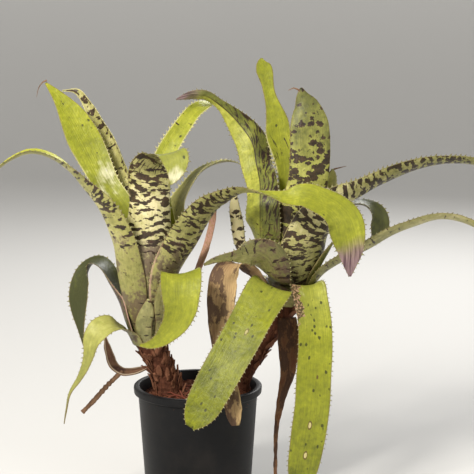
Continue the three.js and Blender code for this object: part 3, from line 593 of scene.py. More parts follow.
        "pale": [(0, 0.6), (0.5, 0.5), (1, 0.3)], "spines": 1.35, "pitch": 7,
        "blade": [
            (94, -23, 220, 42, 112, 122, 5), (107, -19, 235, 35, 85, 135, 30),
            (122, -15, 243, 30, 60, 120, 48), (139, -13, 252, 28, 50, 105, 58),
            (157, -13, 260, 27, 45, 105, 62), (177, -14, 266, 26, 45, 100, 68),
            (195, -15, 268, 23, 45, 90, 72), (212, -17, 267, 19, 45, 80, 70),
            (227, -18, 261, 11, 45, 60, 68), (238, -19, 254, 2, 45, 60, 68),
        ],
    },
    "rightLowArm": {
        "slot": "bandedLeaf", "crown": "right", "rank": 2, "side": 345, "wrap": 84, "rise": 14,
        "tone": [(0, 0.42), (0.4, 0.52), (0.7, 0.72), (1, 0.78)],
        "band": [(0, 0.6), (0.5, 0.45), (1, 0.2)], "through": 0.3, "scurf": 0.12,
        "blade": [
            (96, -8, 178, 26, 70, 160, 25), (111, -11, 190, 26, 55, 150, 45),
            (129, -14, 200, 25, 50, 130, 60), (148, -17, 212, 25, 45, 120, 65),
            (167, -19, 220, 24, 45, 110, 68), (184, -21, 225, 22, 45, 90, 72),
            (201, -22, 224, 19, 45, 80, 72), (216, -23, 218, 14, 45, 60, 70),
            (232, -24, 209, 2, 45, 60, 70),
        ],
    },
    "rightBack": {
        "slot": "bandedLeaf", "crown": "right", "rank": 3, "side": 45, "wrap": 84, "rise": 34,
        # its very low tone is painted shade, for a back leaf that lies in shadow
        "tone": [(0, 0.2), (1, 0.08)], "through": 0.2, "spots": 0.1, "scurf": 0.2, "pitch": 7,
        "blade": [
            (105, 16, 217, 22, 70, 200, 25), (118, 21, 229, 21, 55, 195, 50),
            (132, 26, 230, 20, 40, -80, 84), (142, 28, 223, 20, 35, -58, 42),
            (145, 29, 213, 18, 35, -68, 15), (143, 29, 203, 12, 35, -75, 0),
            (138, 29, 196, 2, 35, -75, 0),
        ],
    },
    "rightYoung": {
        "slot": "brightLeaf", "crown": "right", "rank": 3, "side": 330, "wrap": 52, "rise": 24,
        "tone": 0.5, "band": 0.15, "spots": 0.2, "scurf": 0.2, "pitch": 6,
        "blade": [
            (97, -11, 191, 11, 60, 150, 10), (102, -12, 200, 8, 50, 150, 10),
            (107, -13, 208, 2, 50, 150, 10),
        ],
    },
    "rightSmall": {
        "slot": "brightLeaf", "crown": "right", "rank": 2, "side": 150, "wrap": 56, "rise": 10,
        "tone": 1, "band": [(0, 1), (0.45, 1), (0.62, 0.62), (1, 0.5)],
        "through": [(0, 1), (0.45, 1), (0.62, 0.62), (1, 0.5)], "skins": (0, 0.15), "spots": 0.1,
        "scurf": 0, "blots": 0.9, "dusk": 0,
        "blade": [
            (51, 6, 174, 13, 60, 10, 40), (40, 9, 186, 12, 50, 20, 40), (33, 10, 200, 11, 45, 60, 15),
            (31, 10, 216, 11, 45, 80, 5), (29, 9, 230, 9, 45, 80, 5), (29, 8, 244, 2, 45, 80, 5),
        ],
    },
    "rightPointed": {
        "slot": "brightLeaf", "crown": "right", "rank": 2, "side": 235, "wrap": 80, "rise": 16,
        # its low tone is partly the leaf's dark olive and partly painted half-shade
        "tone": [(0, 0.3), (0.5, 0.34), (1, 0.3)], "band": 0.38, "through": 0.25, "scurf": 0.12,
        "dusk": [(0, 1), (0.4, 0.6), (0.7, 0.35), (1, 0.3)], "lean": 0.2, "pitch": 7,
        "blade": [
            (60, -26, 180, 24, 70, 58, 4), (57, -31, 189, 31, 58, 64, 5),
            (52, -35, 197, 35, 46, 68, 6), (43, -38, 201, 22, 40, 70, 10),
            (34, -39, 199, 12, 40, 66, 14), (23, -40, 198, 6.5, 40, 62, 18),
            (12, -39, 195, 5, 42, 58, 22), (6, -38, 192, 2, 45, 55, 26),
        ],
    },
    "rightBroad": {
        "slot": "brightLeaf", "crown": "right", "rank": 0, "side": 234, "wrap": 78, "rise": 5,
        "tone": [(0, 0.6), (0.25, 0.6), (0.5, 0.5), (0.8, 0.44), (1, 0.44)], "band": 0.25, "through": 0,
        "spots": [(0, 0.4), (0.3, 0.8), (1, 0.85)], "scurf": [(0, 0.3), (0.25, 0.2), (0.4, 0), (1, 0)],
        "scars": [(0, 0), (0.3, 0.15), (1, 0.1)], "dusk": 0, "spines": 0.85, "pitch": 7,
        "blade": [
            (60, -18, 168, 26, 55, 50, 50), (58, -26, 173, 35, 38, 0, 66),
            (53, -35, 168, 36, 32, -88, 55), (45, -44, 156, 34, 33, -108, 32),
            (34, -54, 138, 33, 32, -110, 22), (24, -61, 122, 32, 30, -110, 18),
            (14, -66, 105, 31, 30, -110, 12), (5, -69, 89, 28, 30, -110, 8),
            (-1, -70, 80, 20, 30, -110, 8), (-4, -70, 75, 8, 30, -110, 8),
        ],
    },
    "rightHanging": {
        "slot": "brightLeaf", "crown": "right", "rank": 1, "side": 306, "wrap": 72, "rise": 9,
        "tone": [(0, 0.6), (0.2, 0.7), (0.6, 0.58), (1, 0.4)], "band": 0.2, "through": 0,
        "spots": [(0, 1), (0.3, 1.1), (1, 1)], "scurf": [(0, 0.4), (0.2, 0.3), (0.35, 0.1), (1, 0.08)],
        "paintedSheen": [(0, 0), (0.1, 0.3), (0.2, 0.4), (0.28, 0)],
        "scars": [(0, 0.1), (0.2, 0.4), (0.6, 0.35), (0.8, 0.1)],
        "bruise": [(0, 0.3), (0.06, 0.7), (0.14, 1), (0.24, 1), (0.3, 0.5), (0.36, 0)], "dusk": 0,
        "spines": 0.85, "pitch": 7,
        "blade": [
            (84, -18, 170, 24, 58, 120, 45), (85, -26, 174, 28, 40, -80, 85),
            (86, -35, 167, 28, 35, -75, 40), (89, -41, 152, 27, 32, -75, 18),
            (90, -44, 132, 27, 30, -80, 10), (89, -47, 109, 27, 30, -85, 10),
            (88, -49, 86, 27, 30, -88, 8), (85, -51, 63, 27, 30, -90, 8),
            (81, -53, 38, 24, 30, -90, 8), (78, -54, 21, 15, 30, -90, 8), (76, -54, 11, 2, 30, -90, 8),
        ],
    },
    "rightDried": {
        "slot": "driedLeaf", "crown": "right", "rank": 0, "side": 160, "wrap": 50, "rise": 4,
        "tone": [(0, 0.4), (0.25, 0.6), (0.4, 0.8), (0.6, 0.8), (1, 0.75)], "band": 0.42,
        "through": 0.05, "lean": -0.22, "spines": 0, "crumple": 1.4,
        "blade": [
            (52, 1, 169, 15, 60, 20, 38), (41, -5, 180, 21, 50, 50, 38),
            (30, -11, 188, 23, 42, 90, 82), (23, -16, 182, 24, 45, -115, 30),
            (20, -22, 168, 24, 50, -105, 10), (19, -31, 150, 21, 50, -100, 15),
            (20, -40, 132, 17, 55, -100, 15), (22, -48, 117, 14, 60, -102, 15),
            (26, -57, 102, 14, 55, -102, 15), (28, -61, 90, 14, 45, -98, 10),
            (29, -62, 80, 12, 45, -98, 8), (30, -62, 74, 6, 45, -98, 5),
        ],
    },
    "rightDriedBrown": {
        "slot": "driedLeaf",
        "tone": [(0, 0.12), (1, 0.2)], "through": 0, "spines": 0, "crumple": 1,
        "blade": [
            (70, -8, 145, 14, 60, -90, 0), (71, -14, 133, 18, 50, -90, 5),
            (71, -18, 118, 16, 60, -90, 5), (70, -20, 102, 12, 70, -90, 5),
            (66, -22, 87, 7, 80, -90, 5), (62, -23, 63, 4, 90, -90, 0), (61, -24, 39, 3, 90, -90, 0),
            (61, -25, 19, 2.6, 90, -90, 0), (61, -25, 5, 1.2, 90, -90, 0),
        ],
    },
}


# what a leaf has where its own entry says nothing: a number, or (share of length, value) pairs
plainLook = {
    "tone": 0.6,  # 0 is dark green, 1 is bright; a low tone is also painted shade on leaves that lie in shadow
    "band": 0.5, "through": 0.1,  # dark crossbands on the outer and on the inner face
    "blots": 0, "pitch": 8,  # 1 turns the bands into round blots; mm between bands
    "streaks": 0,  # dark lines along the leaf
    "lean": 0, "crease": 0,  # one half darker than the other, and a sharp line between them
    "spots": 0.3, "scars": 0,  # flecks and healed rings
    "scurf": 0.25, "paintedSheen": 0,  # grey bloom, and a milky white painted highlight
    "dusk": [(0, 1), (0.14, 0.8), (0.28, 0.35), (0.4, 0)],  # purple-brown clouds, outer face
    "blush": 0, "pale": 0.25, "bruise": 0,  # pink margin, light margin, sores along one margin
    "wither": 0, "crumple": 0, "spines": 1,  # dry end, mm of small folds, size of the spines
}
lookSets = {  # three looks travel to the material in one attribute
    "lookA": ("tone", "band", "through"), "lookB": ("spots", "scurf", "wither"),
    "lookC": ("blots", "streaks", "lean"), "lookD": ("paintedSheen", "scars", "blush"),
    "lookE": ("dusk", "bruise", "pale"), "lookF": ("crease", "pitch", "half"),
}
leafTones = {  # from dark to bright; the dark end also gives painted shade to leaves in shadow
    "inner": [
        (0.0, (0.030, 0.034, 0.006)), (0.35, (0.096, 0.106, 0.008)),
        (0.7, (0.238, 0.252, 0.010)), (1.0, (0.44, 0.44, 0.032)),
    ],
    "outer": [
        (0.0, (0.042, 0.040, 0.012)), (0.35, (0.150, 0.142, 0.040)),
        (0.7, (0.36, 0.33, 0.12)), (1.0, (0.64, 0.57, 0.32)),
    ],
}
leafInks = {
    "bloom": (0.44, 0.42, 0.27), "dusk": (0.072, 0.037, 0.034), "fleck": (0.035, 0.036, 0.010),
    # the milky white ink paints a highlight
    "band": (0.016, 0.008, 0.008), "paleBand": (0.050, 0.026, 0.016), "highlightPatch": (0.72, 0.68, 0.48),
    "scarRim": (0.10, 0.065, 0.02), "scar": (0.46, 0.40, 0.17), "scarHeart": (0.22, 0.20, 0.05),
    "rim": (0.17, 0.11, 0.045), "pinkRim": (0.50, 0.31, 0.24), "paleRim": (0.50, 0.46, 0.20),
    "sore": (0.046, 0.022, 0.014), "paleSore": (0.40, 0.24, 0.15),
    "dry": (0.070, 0.034, 0.046), "paleDry": (0.30, 0.205, 0.195),
}
driedInks = {
    "dark": (0.13, 0.055, 0.028), "light": (0.52, 0.37, 0.17), "vein": (0.10, 0.042, 0.028),
    "stain": (0.05, 0.026, 0.022), "pink": (0.42, 0.22, 0.19), "rim": (0.50, 0.40, 0.28),
}
leafGrain = {  # how finely each pattern repeats, per mm: across, along
    "fibre": (0.9, 0.045, 1), "dust": (0.5, 1.6, 1), "sway": (0.07, 0.045, 1),
    "cross": (0.105, 0.30, 1), "blots": (0.155, 0.23, 1), "flecks": (0.17, 0.12, 1),
    "tooth": (0.9, 0.4, 1), "scars": (0.105, 0.05, 1), "highlightPatch": (0.11, 0.06, 1),
    "ribs": (1.3, 0.015, 1), "pits": (0.9, 0.45, 1),
}


def level(keys, share):
    # a number, or (share of length, value) pairs read along the leaf
    if isinstance(keys, (int, float)):
        return np.full(len(share), float(keys))
    places, values = zip(*keys)
    return np.interp(share, places, values)


def pointing(azimuth, elevation):
    a = math.radians(azimuth)
    e = math.radians(elevation)
    return np.array([math.cos(e) * math.cos(a), math.cos(e) * math.sin(a), math.sin(e)])


def unit(rows):
    return rows / np.maximum(np.linalg.norm(rows, axis=-1, keepdims=True), 1e-9)


def smooth(values, passes):
    # softens a run of samples and keeps its ends
    for _ in range(passes):
        middle = (values[:-2] + 2 * values[1:-1] + values[2:]) / 4
        values = np.concatenate([values[:1], middle, values[-1:]])
    return values


def ripple(x, y, seed):
    return noise.noise(Vector((x, y, seed)))


def sheathRow(leaf, height):
    # a cross-section that clasps the crown, one layer inside the leaves of lower rank
    crown = sheath[leaf["crown"]]
    fade = math.exp(-height / crown["fill"])
    skin = sheath["radius"] + sheath["clearance"] + sheath["skin"] / 2
    reach = skin + crown["bulge"] * (1 - fade) - sheath["layer"] * leaf["rank"]
    out = pointing(leaf["side"], 0)
    up = np.array([0, 0, 1.0])
    cup = math.radians(leaf["wrap"])
    return {
        "place": np.array(crown["foot"]) + out * reach + up * height,
        "heading": unit(up + out * crown["bulge"] / crown["fill"] * fade),
        "upright": 1.0, "width": cup * reach, "cup": cup, "face": -out, "thick": sheath["skin"],
    }


def leafRows(leaf):
    rows = []
    if "crown" in leaf:
        start = sheath[leaf["crown"]]["step"] * leaf["rank"]
        parts = max(1, round((leaf["rise"] - start) / sheath["stride"]))
        rows = [sheathRow(leaf, start + (leaf["rise"] - start) * k / parts) for k in range(parts + 1)]
    for x, y, z, width, cup, azimuth, elevation in leaf["blade"]:
        rows.append({
            "place": np.array([x, y, z], float), "upright": 0.0, "width": width,
            "cup": math.radians(cup), "face": pointing(azimuth, elevation), "thick": blade["thickness"],
        })
    for i, row in enumerate(rows):
        back = row["place"] - rows[max(i - 1, 0)]["place"]
        ahead = rows[min(i + 1, len(rows) - 1)]["place"] - row["place"]
        weighted = back * (ahead @ ahead or 1) + ahead * (back @ back or 1)
        row.setdefault("heading", unit(weighted))
    return rows


def leafLine(leaf):
    # evenly spaced cross-sections along the midrib, on a smooth curve through the rows
    rows = leafRows(leaf)
    line = {key: [] for key in ("place", "along", "face", "upright", "width", "cup", "thick")}
    for first, second in zip(rows, rows[1:]):
        span = np.linalg.norm(second["place"] - first["place"])
        count = max(2, round(span / blade["stride"]))
        a = first["place"]
        b = a + first["heading"] * span / 3
        d = second["place"]
        c = d - second["heading"] * span / 3
        last = second is rows[-1]
        for t in np.arange(count + last) / count:
            s = 1 - t
            line["place"].append(s**3 * a + 3 * s * s * t * b + 3 * s * t * t * c + t**3 * d)
            line["along"].append(unit(s * s * (b - a) + 2 * s * t * (c - b) + t * t * (d - c)))
            for key in ("face", "upright", "width", "cup", "thick"):
                line[key].append(s * first[key] + t * second[key])
    line = {key: np.array(value, float) for key, value in line.items()}
    for key in ("face", "width", "cup"):
        line[key] = smooth(line[key], blade["polish"])
    line["place"] = smooth(line["place"], blade["settle"])
    up = np.array([0, 0, 1.0])
    lean = line["upright"][:, None]
    line["along"] = unit(line["along"] * (1 - lean) + up * lean)
    steps = np.linalg.norm(np.diff(line["place"], axis=0), axis=1)
    line["far"] = np.concatenate([[0], np.cumsum(steps)])
    line["share"] = line["far"] / line["far"][-1]
    return line


def waviness(t, x, far, seed, free, toTip, crumple):
    # mm that one spot lies off the plain blade; t is its place between the margins, -1 to 1
    wave = abs(t) ** 5 * blade["ripple"] * free * ripple(t * 3, far / blade["rippleLength"], seed)
    wide, long = blade["buckleSize"]
    wave += blade["buckle"] * free * toTip * ripple(x / wide, far / long, seed + 9)
    if crumple:
        wide, long = blade["crumpleSize"]
        wave += crumple * ripple(x / wide, far / long, seed + 5)
        wide, long = blade["fineCrumple"]
        wave += 0.5 * crumple * ripple(x / wide, far / long, seed + 7)
    return wave


def buildLeaf(name, leaf, seed):
    # one closed blade, lens-shaped in section, with its colouring written on its points
    line = leafLine(leaf)
    share = line["share"]
    columns = blade["columns"]
    spread = np.sin(np.linspace(-math.pi / 2, math.pi / 2, columns + 1))
    across = unit(np.cross(line["along"], line["face"]))
    inward = unit(np.cross(across, line["along"]))
    toTip = np.clip((1 - share) * blade["taper"], 0, 1)
    thickness = line["thick"] * (blade["tipThickness"] + (1 - blade["tipThickness"]) * toTip)
    free = 1 - line["upright"]
    look = {key: level(leaf.get(key, usual), share) for key, usual in plainLook.items()}
    look["half"] = line["width"] / 2
    outerSkin, innerSkin = leaf.get("skins", (0, 1))
    order = [(j, 1) for j in range(columns + 1)] + [(j, -1) for j in range(columns - 1, 0, -1)]
    points, coords, faceSide, margins = [], [], [], []
    for i, far in enumerate(line["far"]):
        arc = line["width"][i] / line["cup"][i]
        sheet = []
        for t in spread:
            angle = t * line["cup"][i] / 2
            normal = inward[i] * math.cos(angle) - across[i] * math.sin(angle)
            middle = line["place"][i] + across[i] * arc * math.sin(angle)
            middle = middle + inward[i] * arc * (1 - math.cos(angle))
            x = t * line["width"][i] / 2
            wave = waviness(t, x, far, seed, free[i], toTip[i], look["crumple"][i])
            depth = thickness[i] / 2 * math.sqrt(max(0, 1 - t**6))
            sheet.append((middle + normal * wave, normal, x, depth))
        for j, side in order:
            spot, normal, x, depth = sheet[j]
            points.append((spot + normal * depth * side) * mm)
            coords.append((x, far, seed * 37.0))
            faceSide.append(0.0 if side < 0 else 1.0 if j % columns else 0.5)
        size = np.clip((free[i] - spines["onBlade"]) * 3, 0, 1) * look["spines"][i]
        size *= min(1, line["width"][i] / spines["fullWidth"]) ** 0.5
        for j, sign in ((0, -1), (columns, 1)):
            angle = sign * line["cup"][i] / 2
            out = across[i] * math.cos(angle) * sign + inward[i] * math.sin(angle) * sign
            margins.append((sheet[j][0], out, line["along"][i], size, look["pale"][i]))
    ring = len(order)
    mesh = newMesh(name, points, tubeFaces(len(share), ring))
    volume = sum(face.center.dot(face.normal) * face.area for face in mesh.polygons)
    if volume < 0:  # the shell came out inside out
        mesh.flip_normals()
    faceSide = np.array(faceSide)
    setAttribute(mesh, "leafPlace", coords)
    setAttribute(mesh, "leafInner", outerSkin + (innerSkin - outerSkin) * faceSide)
    setAttribute(mesh, "leafSide", faceSide)
    for label, keys in lookSets.items():
        rows = np.stack([look[key] for key in keys], axis=1)
        setAttribute(mesh, label, np.repeat(rows, ring, axis=0))
    return addObject(mesh), margins


def livingLeafPaint():
    paint = Paint("livingLeaf", Specular_IOR_Level=0.22, Subsurface_Weight=0.06)
    paint.shader.inputs["Subsurface Radius"].default_value = (0.6, 1.0, 0.2)
    paint.shader.inputs["Subsurface Scale"].default_value = 0.0015
    spot = paint.vector("leafPlace")
    inner = paint.number("leafInner")
    side = paint.number("leafSide")
    tone, band, through = paint.vector("lookA").split()
    spots, scurf, wither = paint.vector("lookB").split()
    blots, streaks, lean = paint.vector("lookC").split()
    paintedSheen, scars, blush = paint.vector("lookD").split()
    dusk, bruise, pale = paint.vector("lookE").split()
    crease, pitch, half = paint.vector("lookF").split()
    x, far, seed = spot.split()

    def grain(name, detail, rough=0.5):
        return paint.noise(paint.stretch(spot, leafGrain[name]), 1.0, detail, rough)

    # broad clouds, small mottling and fibres along the leaf
    cloud = paint.noise(spot, 0.055, 3.0)
    mottle = paint.noise(spot, 0.24, 4.0, 0.6)
    ragged = paint.noise(spot, 0.6, 3.0, 0.6)
    fibre = grain("fibre", 3.0)
    shift = (cloud - 0.5) * (0.7 - side * 0.3) + (mottle - 0.5) * (0.7 - side * 0.2)
    shift = shift + (fibre - 0.5) * 0.3
    # one half darker than the other, in a soft change or at a sharp crease
    ratio = x / half
    farHalf = ratio.step(-0.12, 0.12)
    slant = lean * paint.mixValue(crease, ratio, farHalf * 1.1 - 0.55)
    bright = (tone + shift + slant).clip()
    innerSkin = paint.add("ShaderNodeValToRGB", {0: bright}, stops=leafTones["inner"])
    outerSkin = paint.add("ShaderNodeValToRGB", {0: bright}, stops=leafTones["outer"])
    skin = paint.mix(inner, outerSkin, innerSkin)
    # grey bloom in fine crossing lines
    dust = grain("dust", 4.0, 0.7)
    veil = (scurf * (0.25 + dust * 1.2) * (0.4 + cloud)).clip()
    skin = paint.mix(veil * 0.45, skin, leafInks["bloom"])
    # purple-brown clouds toward the base, on the outer face
    murk = dusk * 0.5 + (cloud - 0.5) * 1.8 + (mottle - 0.5) * 1.8 + (ragged - 0.5) * 0.3
    murk = murk.step(0.27, 0.72) * (1 - side * 0.9)
    skin = paint.mix(murk * dusk.step(0.0, 0.3) * 0.82, skin, leafInks["dusk"])
    # broken crossbands, or round blots where the leaf has them
    sway = grain("sway", 2.0) - 0.5
    wave = ((far + sway * 20.0) * (2 * math.pi) / pitch).calc("SINE")
    away, luck = paint.cells(paint.stretch(spot, leafGrain["blots"]))
    blot = 0.86 - away * 0.8 + (luck - 0.5) * 0.3 + (mottle - 0.5) * 0.5 + (ragged - 0.5) * 0.7
    pattern = paint.mixValue(blots, grain("cross", 5.0, 0.58) + wave * 0.07, blot)
    strength = paint.mixValue(side, band, through)
    uneven = (cloud - 0.5) * 0.7 - slant * (0.7 - crease * 0.9)
    strength = strength + uneven * strength.step(0.05, 0.4)
    bands = (pattern + strength * 0.36).step(0.79, 0.822) * strength.step(0.02, 0.2)
    # slanting streaks, and the dark line of a crease
    drag = paint.join(x * 0.62 + sway * 6.0 + far * 0.13, far * 0.085, seed)
    dim = (-(x * lean)).step(-1.0, 2.0)
    streak = paint.noise(drag, 1.0, 3.0, 0.6) + streaks * (0.18 + dim * 0.16)
    streak = streak.step(0.77, 0.81) * streaks.step(0.0, 0.15) * (1 - crease * farHalf * 0.85)
    line = crease * (1 - abs(x).step(0.25, 0.6))
    bands = (bands + streak + line * 0.9).clip()
    ink = paint.mix(mottle.step(0.35, 0.7), leafInks["band"], leafInks["paleBand"])
    skin = paint.mix(bands * 0.96, skin, ink)
    # dark flecks of two sizes, mostly on the upper face
    away, luck = paint.cells(paint.stretch(spot, leafGrain["flecks"]))
    tooth = grain("tooth", 3.0, 0.65) - 0.5
    chosen = (luck + spots * 0.95 - 0.9).step(0.0, 0.1)
    marks = (1 - (away + tooth * 0.3 - spots * 0.04).step(0.09, 0.16)) * chosen
    specks = paint.noise(spot, 0.85, 2.0, 0.4).step(0.72, 0.75) * spots.step(0.1, 0.6)
    marks = (marks + specks * cloud.step(0.4, 0.6) * 0.7).clip() * (0.35 + side * 0.65)
    skin = paint.mix(marks * 0.88, skin, leafInks["fleck"])
    # healed rings: a dark rim, a pale ring and a green heart
    away, luck = paint.cells(paint.stretch(spot, leafGrain["scars"]))
    away = away + tooth * 0.05
    hit = (luck + scars - 1.0).step(0.0, 0.05)
    for low, high, name in ((0.17, 0.20, "scarRim"), (0.12, 0.15, "scar"), (0.05, 0.09, "scarHeart")):
        skin = paint.mix(hit * (1 - away.step(low, high)), skin, leafInks[name])
    # painted highlight: a milky white sheen patch painted into the colour
    highlightPatch = paintedSheen + (grain("highlightPatch", 2.0) - 0.5) * 2.2 + (mottle - 0.5) * 0.4 + (fibre - 0.5) * 0.5
    skin = paint.mix(highlightPatch.step(0.5, 1.1) * 0.75, skin, leafInks["highlightPatch"])
    # brown margin line, flushed pink or pale on some
    toEdge = half - abs(x)
    rim = 1 - (toEdge - blush * 1.1 - pale * 0.35).step(0.12, 0.75)
    flush = paint.mix(blush, leafInks["rim"], leafInks["pinkRim"])
    flush = paint.mix(pale.step(0.3, 0.9) * (1 - blush.clip()), flush, leafInks["paleRim"])
    skin = paint.mix(rim * (0.6 + pale * 0.2), skin, flush)
    # bruised patches along the margin
    sore = (abs(bruise) + (mottle - 0.5) * 1.6 - toEdge * 0.085).step(0.38, 0.5)
    sore = sore * (bruise * x).step(0.0, 0.8)
    raw = paint.mix(ragged.step(0.45, 0.6), leafInks["sore"], leafInks["paleSore"])
    skin = paint.mix(sore * 0.9, skin, raw)
    # withered ends
    dry = (wither + (cloud - 0.5) * 0.5 * wither.step(0.0, 0.2)).clip()
    parched = paint.mix(fibre.step(0.3, 0.7), leafInks["dry"], leafInks["paleDry"])
    skin = paint.mix(dry.step(0.25, 0.75), skin, parched)
    paint.link("Base Color", skin)
    paint.link("Roughness", (0.33 + dust * 0.16 + veil * 0.25 + dry * 0.2).clip())
    relief = grain("ribs", 2.0) * 0.45 + grain("pits", 3.0) * 0.45 + cloud * 0.8 + mottle * 0.8
    paint.bump(relief + dry * fibre, 0.0005)
    return paint.material


def driedLeafPaint():
    # tone goes from dark to straw, band is the share of dark stain, through the share of pink
    paint = Paint("driedLeaf", Specular_IOR_Level=0.15)
    spot = paint.vector("leafPlace")
    half = paint.vector("lookF").split()[2]
    tone, blotch, pink = paint.vector("lookA").split()
    lean = paint.vector("lookC").split()[2]
    blush = paint.vector("lookD").split()[2]
    x = spot.split()[0]
    cloud = paint.noise(paint.stretch(spot, (0.12, 0.06, 1)), 1.0, 3.0)
    vein = paint.noise(paint.stretch(spot, (1.6, 0.03, 1)), 1.0, 3.0, 0.7)
    grain = paint.noise(paint.stretch(spot, (0.9, 0.5, 1)), 1.0, 4.0, 0.7)
    slant = lean * (x / half)
    straw = (tone + slant + (cloud - 0.5) * 0.9).clip()
    skin = paint.mix(straw, driedInks["dark"], driedInks["light"])
    skin = paint.mix((vein - 0.35).step(0.0, 0.35) * 0.55, skin, driedInks["vein"])
    stain = (cloud + grain * 0.25 + blotch * 0.5 - slant * 0.35 - 0.82).step(0.0, 0.08)
    skin = paint.mix(stain * 0.8, skin, driedInks["stain"])
    skin = paint.mix(pink * grain.step(0.3, 0.7), skin, driedInks["pink"])
    rim = 1 - (half - abs(x)).step(0.2, 1.1)
    skin = paint.mix(blush * rim, skin, driedInks["rim"])
    paint.link("Base Color", skin)
    paint.link("Roughness", (0.62 + grain * 0.25).clip())
    paint.bump(vein * 0.8 + grain * 0.6 + cloud * 0.6, 0.0006)
    return paint.material


spines = {
    "gap": 3.7, "length": 2.2, "base": 1.7, "thick": 0.7,  # mm
    "hook": 0.55,  # how far a point bends over
    "shortest": 0.6, "longest": 1.15, "least": 0.25,  # of the full size; below least none grows
    "fullWidth": 14,  # mm; a narrower blade has smaller spines
    "onBlade": 0.55,  # the sheath has none until it is this far free
    "sunk": 0.35,  # mm that a root lies inside the margin
    "seed": 4,
    "root": (0.17, 0.17, 0.05), "paleRoot": (0.50, 0.48, 0.24),
    "tip": (0.055, 0.028, 0.014), "paleTip": (0.36, 0.29, 0.13),
}


def hornPaint():
    paint = Paint("spineHorn", Roughness=0.45, Specular_IOR_Level=0.5)
    pale = paint.number("spinePale")
    root = paint.mix(pale, spines["root"], spines["paleRoot"])
    tip = paint.mix(pale, spines["tip"], spines["paleTip"])
    paint.link("Base Color", paint.mix(paint.number("spineLift").step(0.15, 0.8), root, tip))
    return paint.material


def spineTree(name):
    # hooked teeth along margin lines: points follow the line, aim and grain turn each tooth
    tree, given = newTree(name, [
        ("Gap", "Float", 0.004), ("Length", "Float", 0.002), ("Base", "Float", 0.002),
        ("Thickness", "Float", 0.001), ("Hook", "Float", 0.5), ("Seed", "Int", 0),
        ("Material", "Material", None),
    ])

    def read(label, kind):
        return addNode(tree, "GeometryNodeInputNamedAttribute", {"Name": label}, data_type=kind)

    line = addNode(tree, "GeometryNodeMeshToCurve", {0: given["Geometry"]})
    values = {"Curve": line, "Length": given["Gap"]}
    spots = addNode(tree, "GeometryNodeResampleCurve", values, mode="LENGTH")
    cone = {"Vertices": 6, "Side Segments": 3, "Radius Bottom": 0.5, "Depth": 1.0}
    tooth = addNode(tree, "GeometryNodeMeshCone", cone, fill_type="TRIANGLE_FAN")
    height = addNode(tree, "GeometryNodeInputPosition").split()[2]
    drift = addNode(tree, "ShaderNodeCombineXYZ", {0: height * height * given["Hook"]})
    tooth = addNode(tree, "GeometryNodeSetPosition", {"Geometry": tooth, "Offset": drift})
    values = {"Geometry": tooth, "Name": "spineLift", "Value": height}
    tooth = addNode(tree, "GeometryNodeStoreNamedAttribute", values, data_type="FLOAT")
    luck = chance(tree, spines["shortest"], spines["longest"], given["Seed"])
    size = read("size", "FLOAT") * luck
    scale = addNode(tree, "ShaderNodeCombineXYZ", {
        0: size * given["Base"], 1: given["Thickness"], 2: size * given["Length"],
    })
    test = {"data_type": "FLOAT", "operation": "GREATER_THAN"}
    teeth = addNode(tree, "GeometryNodeInstanceOnPoints", {
        "Points": spots, "Instance": tooth, "Scale": scale,
        "Selection": addNode(tree, "FunctionNodeCompare", {0: size, 1: spines["least"]}, **test),
        "Rotation": stand(tree, read("aim", "FLOAT_VECTOR"), read("grain", "FLOAT_VECTOR")),
    })
    endTree(tree, teeth, given["Material"])
    return tree


def growSpines(name, lines, material):
    # lines: one list of (place, out, along, size, paleness) for each margin
    edges, rows = [], []
    for line in lines:
        edges += [(len(rows) + k, len(rows) + k + 1) for k in range(len(line) - 1)]
        rows += line
    spots, aim, along, size, pale = zip(*rows)
    roots = [(spot - out * spines["sunk"]) * mm for spot, out in zip(spots, aim)]
    base = addObject(newMesh(name + "Line", roots, [], edges))
    for label, values in (("aim", aim), ("grain", along), ("size", size), ("spinePale", pale)):
        setAttribute(base.data, label, values)
    inputs = {
        "Gap": spines["gap"] * mm, "Length": spines["length"] * mm, "Base": spines["base"] * mm,
        "Thickness": spines["thick"] * mm, "Hook": spines["hook"], "Seed": spines["seed"],
        "Material": material,
    }
    made = useNodes(base, "marginSpines", spineTree, inputs, name)
    bpy.data.objects.remove(base)
    place(made, "brightLeaf")


livingSkin = livingLeafPaint()
driedSkin = driedLeafPaint()
hornSkin = hornPaint()
edgeLines = {"leftSpines": [], "rightSpines": []}
for number, (name, leaf) in enumerate(leaves.items()):
    made, margins = buildLeaf(name + "Blade", leaf, number + 1)
    place(made, leaf["slot"], name, driedSkin if leaf["slot"] == "driedLeaf" else livingSkin)
    if leaf.get("spines", 1):
        rosette = "leftSpines" if name.startswith("left") else "rightSpines"
        edgeLines[rosette] += [margins[::2], margins[1::2]]
for name, lines in edgeLines.items():
    growSpines(name, lines, hornSkin)
print("leaves and spines grown")


# pot, in mm
pot = {
    "height": 90, "top": 47.6, "foot": 41.5, "wall": 1.6, "floor": 2.4, "rimReach": 2.8, "rimDrop": 6,
    "sides": 192, "creaseAngle": 32, "footRing": 4, "footRise": 0.9,
    "drains": 6, "drainRadius": 4, "drainRing": 27, "holeSides": 40,
    "black": (0.0035, 0.0035, 0.004), "dust": (0.016, 0.013, 0.011),
}


def potRadius(z):
    return pot["foot"] + (pot["top"] - pot["foot"]) * z / pot["height"]


def lathe(name, profile, sides):
    # turns a profile that starts and ends on the axis into a closed shell
    turns = circle(sides)
    points = [(0, 0, profile[0][1] * mm)]
    for radius, z in profile[1:-1]:
        points += [(radius * mm * math.cos(a), radius * mm * math.sin(a), z * mm) for a in turns]
    points.append((0, 0, profile[-1][1] * mm))
    end = len(points) - 1
    faces = []
    for k in range(sides):
        after = (k + 1) % sides
        faces.append((0, 1 + after, 1 + k))
        faces.append((end, end - sides + k, end - sides + after))
        for a in range(1, end - sides, sides):
            faces.append((a + k, a + after, a + sides + after, a + sides + k))
    return addObject(newMesh(name, points, faces))


